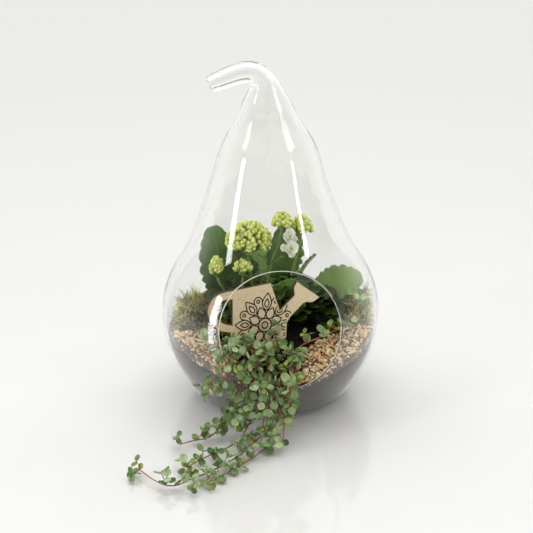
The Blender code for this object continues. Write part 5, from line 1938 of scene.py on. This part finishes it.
# %% [markdown]
# ## Stage
#
# The photo is high key: a white glossy table that fades into the background, soft light from above and
# behind, and two tall narrow lamps whose reflections draw the long white streaks on the pear. Where they
# stand follows from the picture: at each streak, the mirror rule gives the direction of the lamp. Both reach
# from the table to more than 20 degrees up, the left one at 66 degrees round from the camera and the right
# one at 50, with a weaker soft panel above each. A small lamp close to the glass, which only mirror images
# show, draws the lower part of the arc beside the opening. The camera sees none of the lamps themselves.
# Clear glass is only visible by what it mirrors and bends, so the camera's side of the room is much darker
# than the rest: the leaves stay deep green behind the glass, and the outline is a thin grey line. The large
# soft box overhead lights the plants but is kept out of mirror images, where it would lay a grey veil over
# the leaves that the photo doesn't have.

# %% Table
# Painted shade and light: the table's tones even out the pool of the top box.
TABLE_NEAR = (0.735, 0.735, 0.73)
TABLE_MIDDLE = (0.79, 0.79, 0.78)
TABLE_FAR = (0.885, 0.89, 0.862)
TABLE_HALF = 9.0


def table_finish():
    """Glossy white in three tones: painted shade at the front, where the top box pools its light, and painted
    light towards the back, where less reaches.
    """
    finish, shader = new_finish("white_table", 0.07)
    away = calc(finish, "MULTIPLY_ADD", parts_of(finish, where(finish))[1], 0.5, 0.25)
    sweep = ramp(finish, away, [(0.12, TABLE_NEAR), (0.28, TABLE_MIDDLE), (0.75, TABLE_FAR)])
    fine = blend(finish, grain_of(finish, 90, 2.0), sweep, tuple(c * 0.99 for c in TABLE_FAR))
    join(finish, blend(finish, 0.3, sweep, fine), shader.inputs["Base Color"])
    return finish


def make_table():
    mesh = bpy.data.meshes.new("table_top")
    corners = [(x * TABLE_HALF, y * TABLE_HALF, 0) for x, y in ((-1, -1), (1, -1), (1, 1), (-1, 1))]
    mesh.from_pydata(corners, [], [(0, 1, 2, 3)])
    mesh.materials.append(table_finish())
    table = bpy.data.objects.new("table_top", mesh)
    bpy.context.scene.collection.objects.link(table)


make_table()


# %% Aiming
def aim(name, data, target, azimuth, elevation, distance):
    """Puts a camera or lamp round a target and turns it there.

    The azimuth is measured round from -Y, and both angles are in degrees.
    """
    a, e = math.radians(azimuth), math.radians(elevation)
    way = Vector((math.sin(a) * math.cos(e), -math.cos(a) * math.cos(e), math.sin(e)))
    thing = bpy.data.objects.new(name, data)
    thing.location = target + way * distance
    thing.rotation_euler = (-way).to_track_quat("-Z", "Y").to_euler()
    bpy.context.scene.collection.objects.link(thing)
    return thing


# %% Camera
VIEW_TARGET = Vector((0, 0, 0.1425))
VIEW_DISTANCE = 1.40
VIEW_PITCH = 21
VIEW_AZIMUTH = -6
FOCAL_PIXELS = 1325
FRAME_PIXELS = 533
AXIS_RIGHT_PIXELS = 4


def make_camera():
    camera = bpy.data.cameras.new("photo_camera")
    camera.sensor_width = 36
    camera.lens = camera.sensor_width * FOCAL_PIXELS / FRAME_PIXELS
    camera.shift_x = -AXIS_RIGHT_PIXELS / FRAME_PIXELS
    bpy.context.scene.camera = aim("photo_camera", camera, VIEW_TARGET, VIEW_AZIMUTH, VIEW_PITCH,
                                   VIEW_DISTANCE)


make_camera()

# %% Lamps
LAMP_TARGET = Vector((0, 0, 0.15))
IN_MIRRORS, ONLY_IN_MIRRORS, NOT_IN_MIRRORS = "in", "only", "not"
LAMPS = [
    # name, azimuth, elevation, distance, width, height, power, mirror images
    ("left_strip", -66, 10.5, 1.5, 0.19, 0.75, 5.2, IN_MIRRORS),
    ("right_strip", 50, 9.5, 1.5, 0.12, 0.72, 3.3, IN_MIRRORS),
    ("left_panel", -77, 37, 1.5, 0.28, 0.26, 0.8, IN_MIRRORS),
    ("right_panel", 63, 40, 1.5, 0.5, 0.3, 1.4, IN_MIRRORS),
    ("left_foot", -59.6, -14.5, 0.359, 0.035, 0.11, 0.14, ONLY_IN_MIRRORS),
    ("top_box", 10, 68, 1.3, 1.2, 1.2, 6.0, NOT_IN_MIRRORS),
]


def add_lamp(name, azimuth, elevation, distance, width, height, power, mirrors):
    """A soft box that faces the pear."""
    lamp = bpy.data.lights.new(name, "AREA")
    lamp.shape = "RECTANGLE"
    lamp.size, lamp.size_y = width, height
    lamp.energy = power
    thing = aim(name, lamp, LAMP_TARGET, azimuth, elevation, distance)
    thing.visible_glossy = mirrors != NOT_IN_MIRRORS
    thing.visible_transmission = mirrors == IN_MIRRORS
    thing.visible_diffuse = mirrors != ONLY_IN_MIRRORS
    thing.visible_camera = False


for lamp_row in LAMPS:
    add_lamp(*lamp_row)

# %% Room
ROOM_BEHIND = (0.98, 0.985, 0.965)
ROOM_FRONT = (0.16, 0.14, 0.125)
ROOM_ABOVE = (1.88, 1.88, 1.86)


def rise(room, value, low, high):
    """A share that rises softly from 0 to 1 while a value goes from low to high."""
    made = add_node(room, "ShaderNodeMapRange", interpolation_type="SMOOTHSTEP")
    made.inputs["From Min"].default_value, made.inputs["From Max"].default_value = low, high
    join(room, value, made.inputs["Value"])
    return made.outputs[0]


def make_room():
    """Bright behind the pear, brightest above and behind it, and dark on the camera's side."""
    room = bpy.data.worlds.new("studio_room")
    room.use_nodes = True
    _, back, up = parts_of(room, add_node(room, "ShaderNodeTexCoord").outputs["Generated"])
    walls = blend(room, rise(room, back, -0.2, 0.5), ROOM_FRONT, ROOM_BEHIND)
    ceiling = calc(room, "MULTIPLY", rise(room, up, 0.35, 0.75), rise(room, back, -0.15, 0.3))
    whole = blend(room, ceiling, walls, ROOM_ABOVE)
    join(room, whole, room.node_tree.nodes["Background"].inputs["Color"])
    bpy.context.scene.world = room


make_room()
bpy.context.scene.view_settings.view_transform = "Standard"
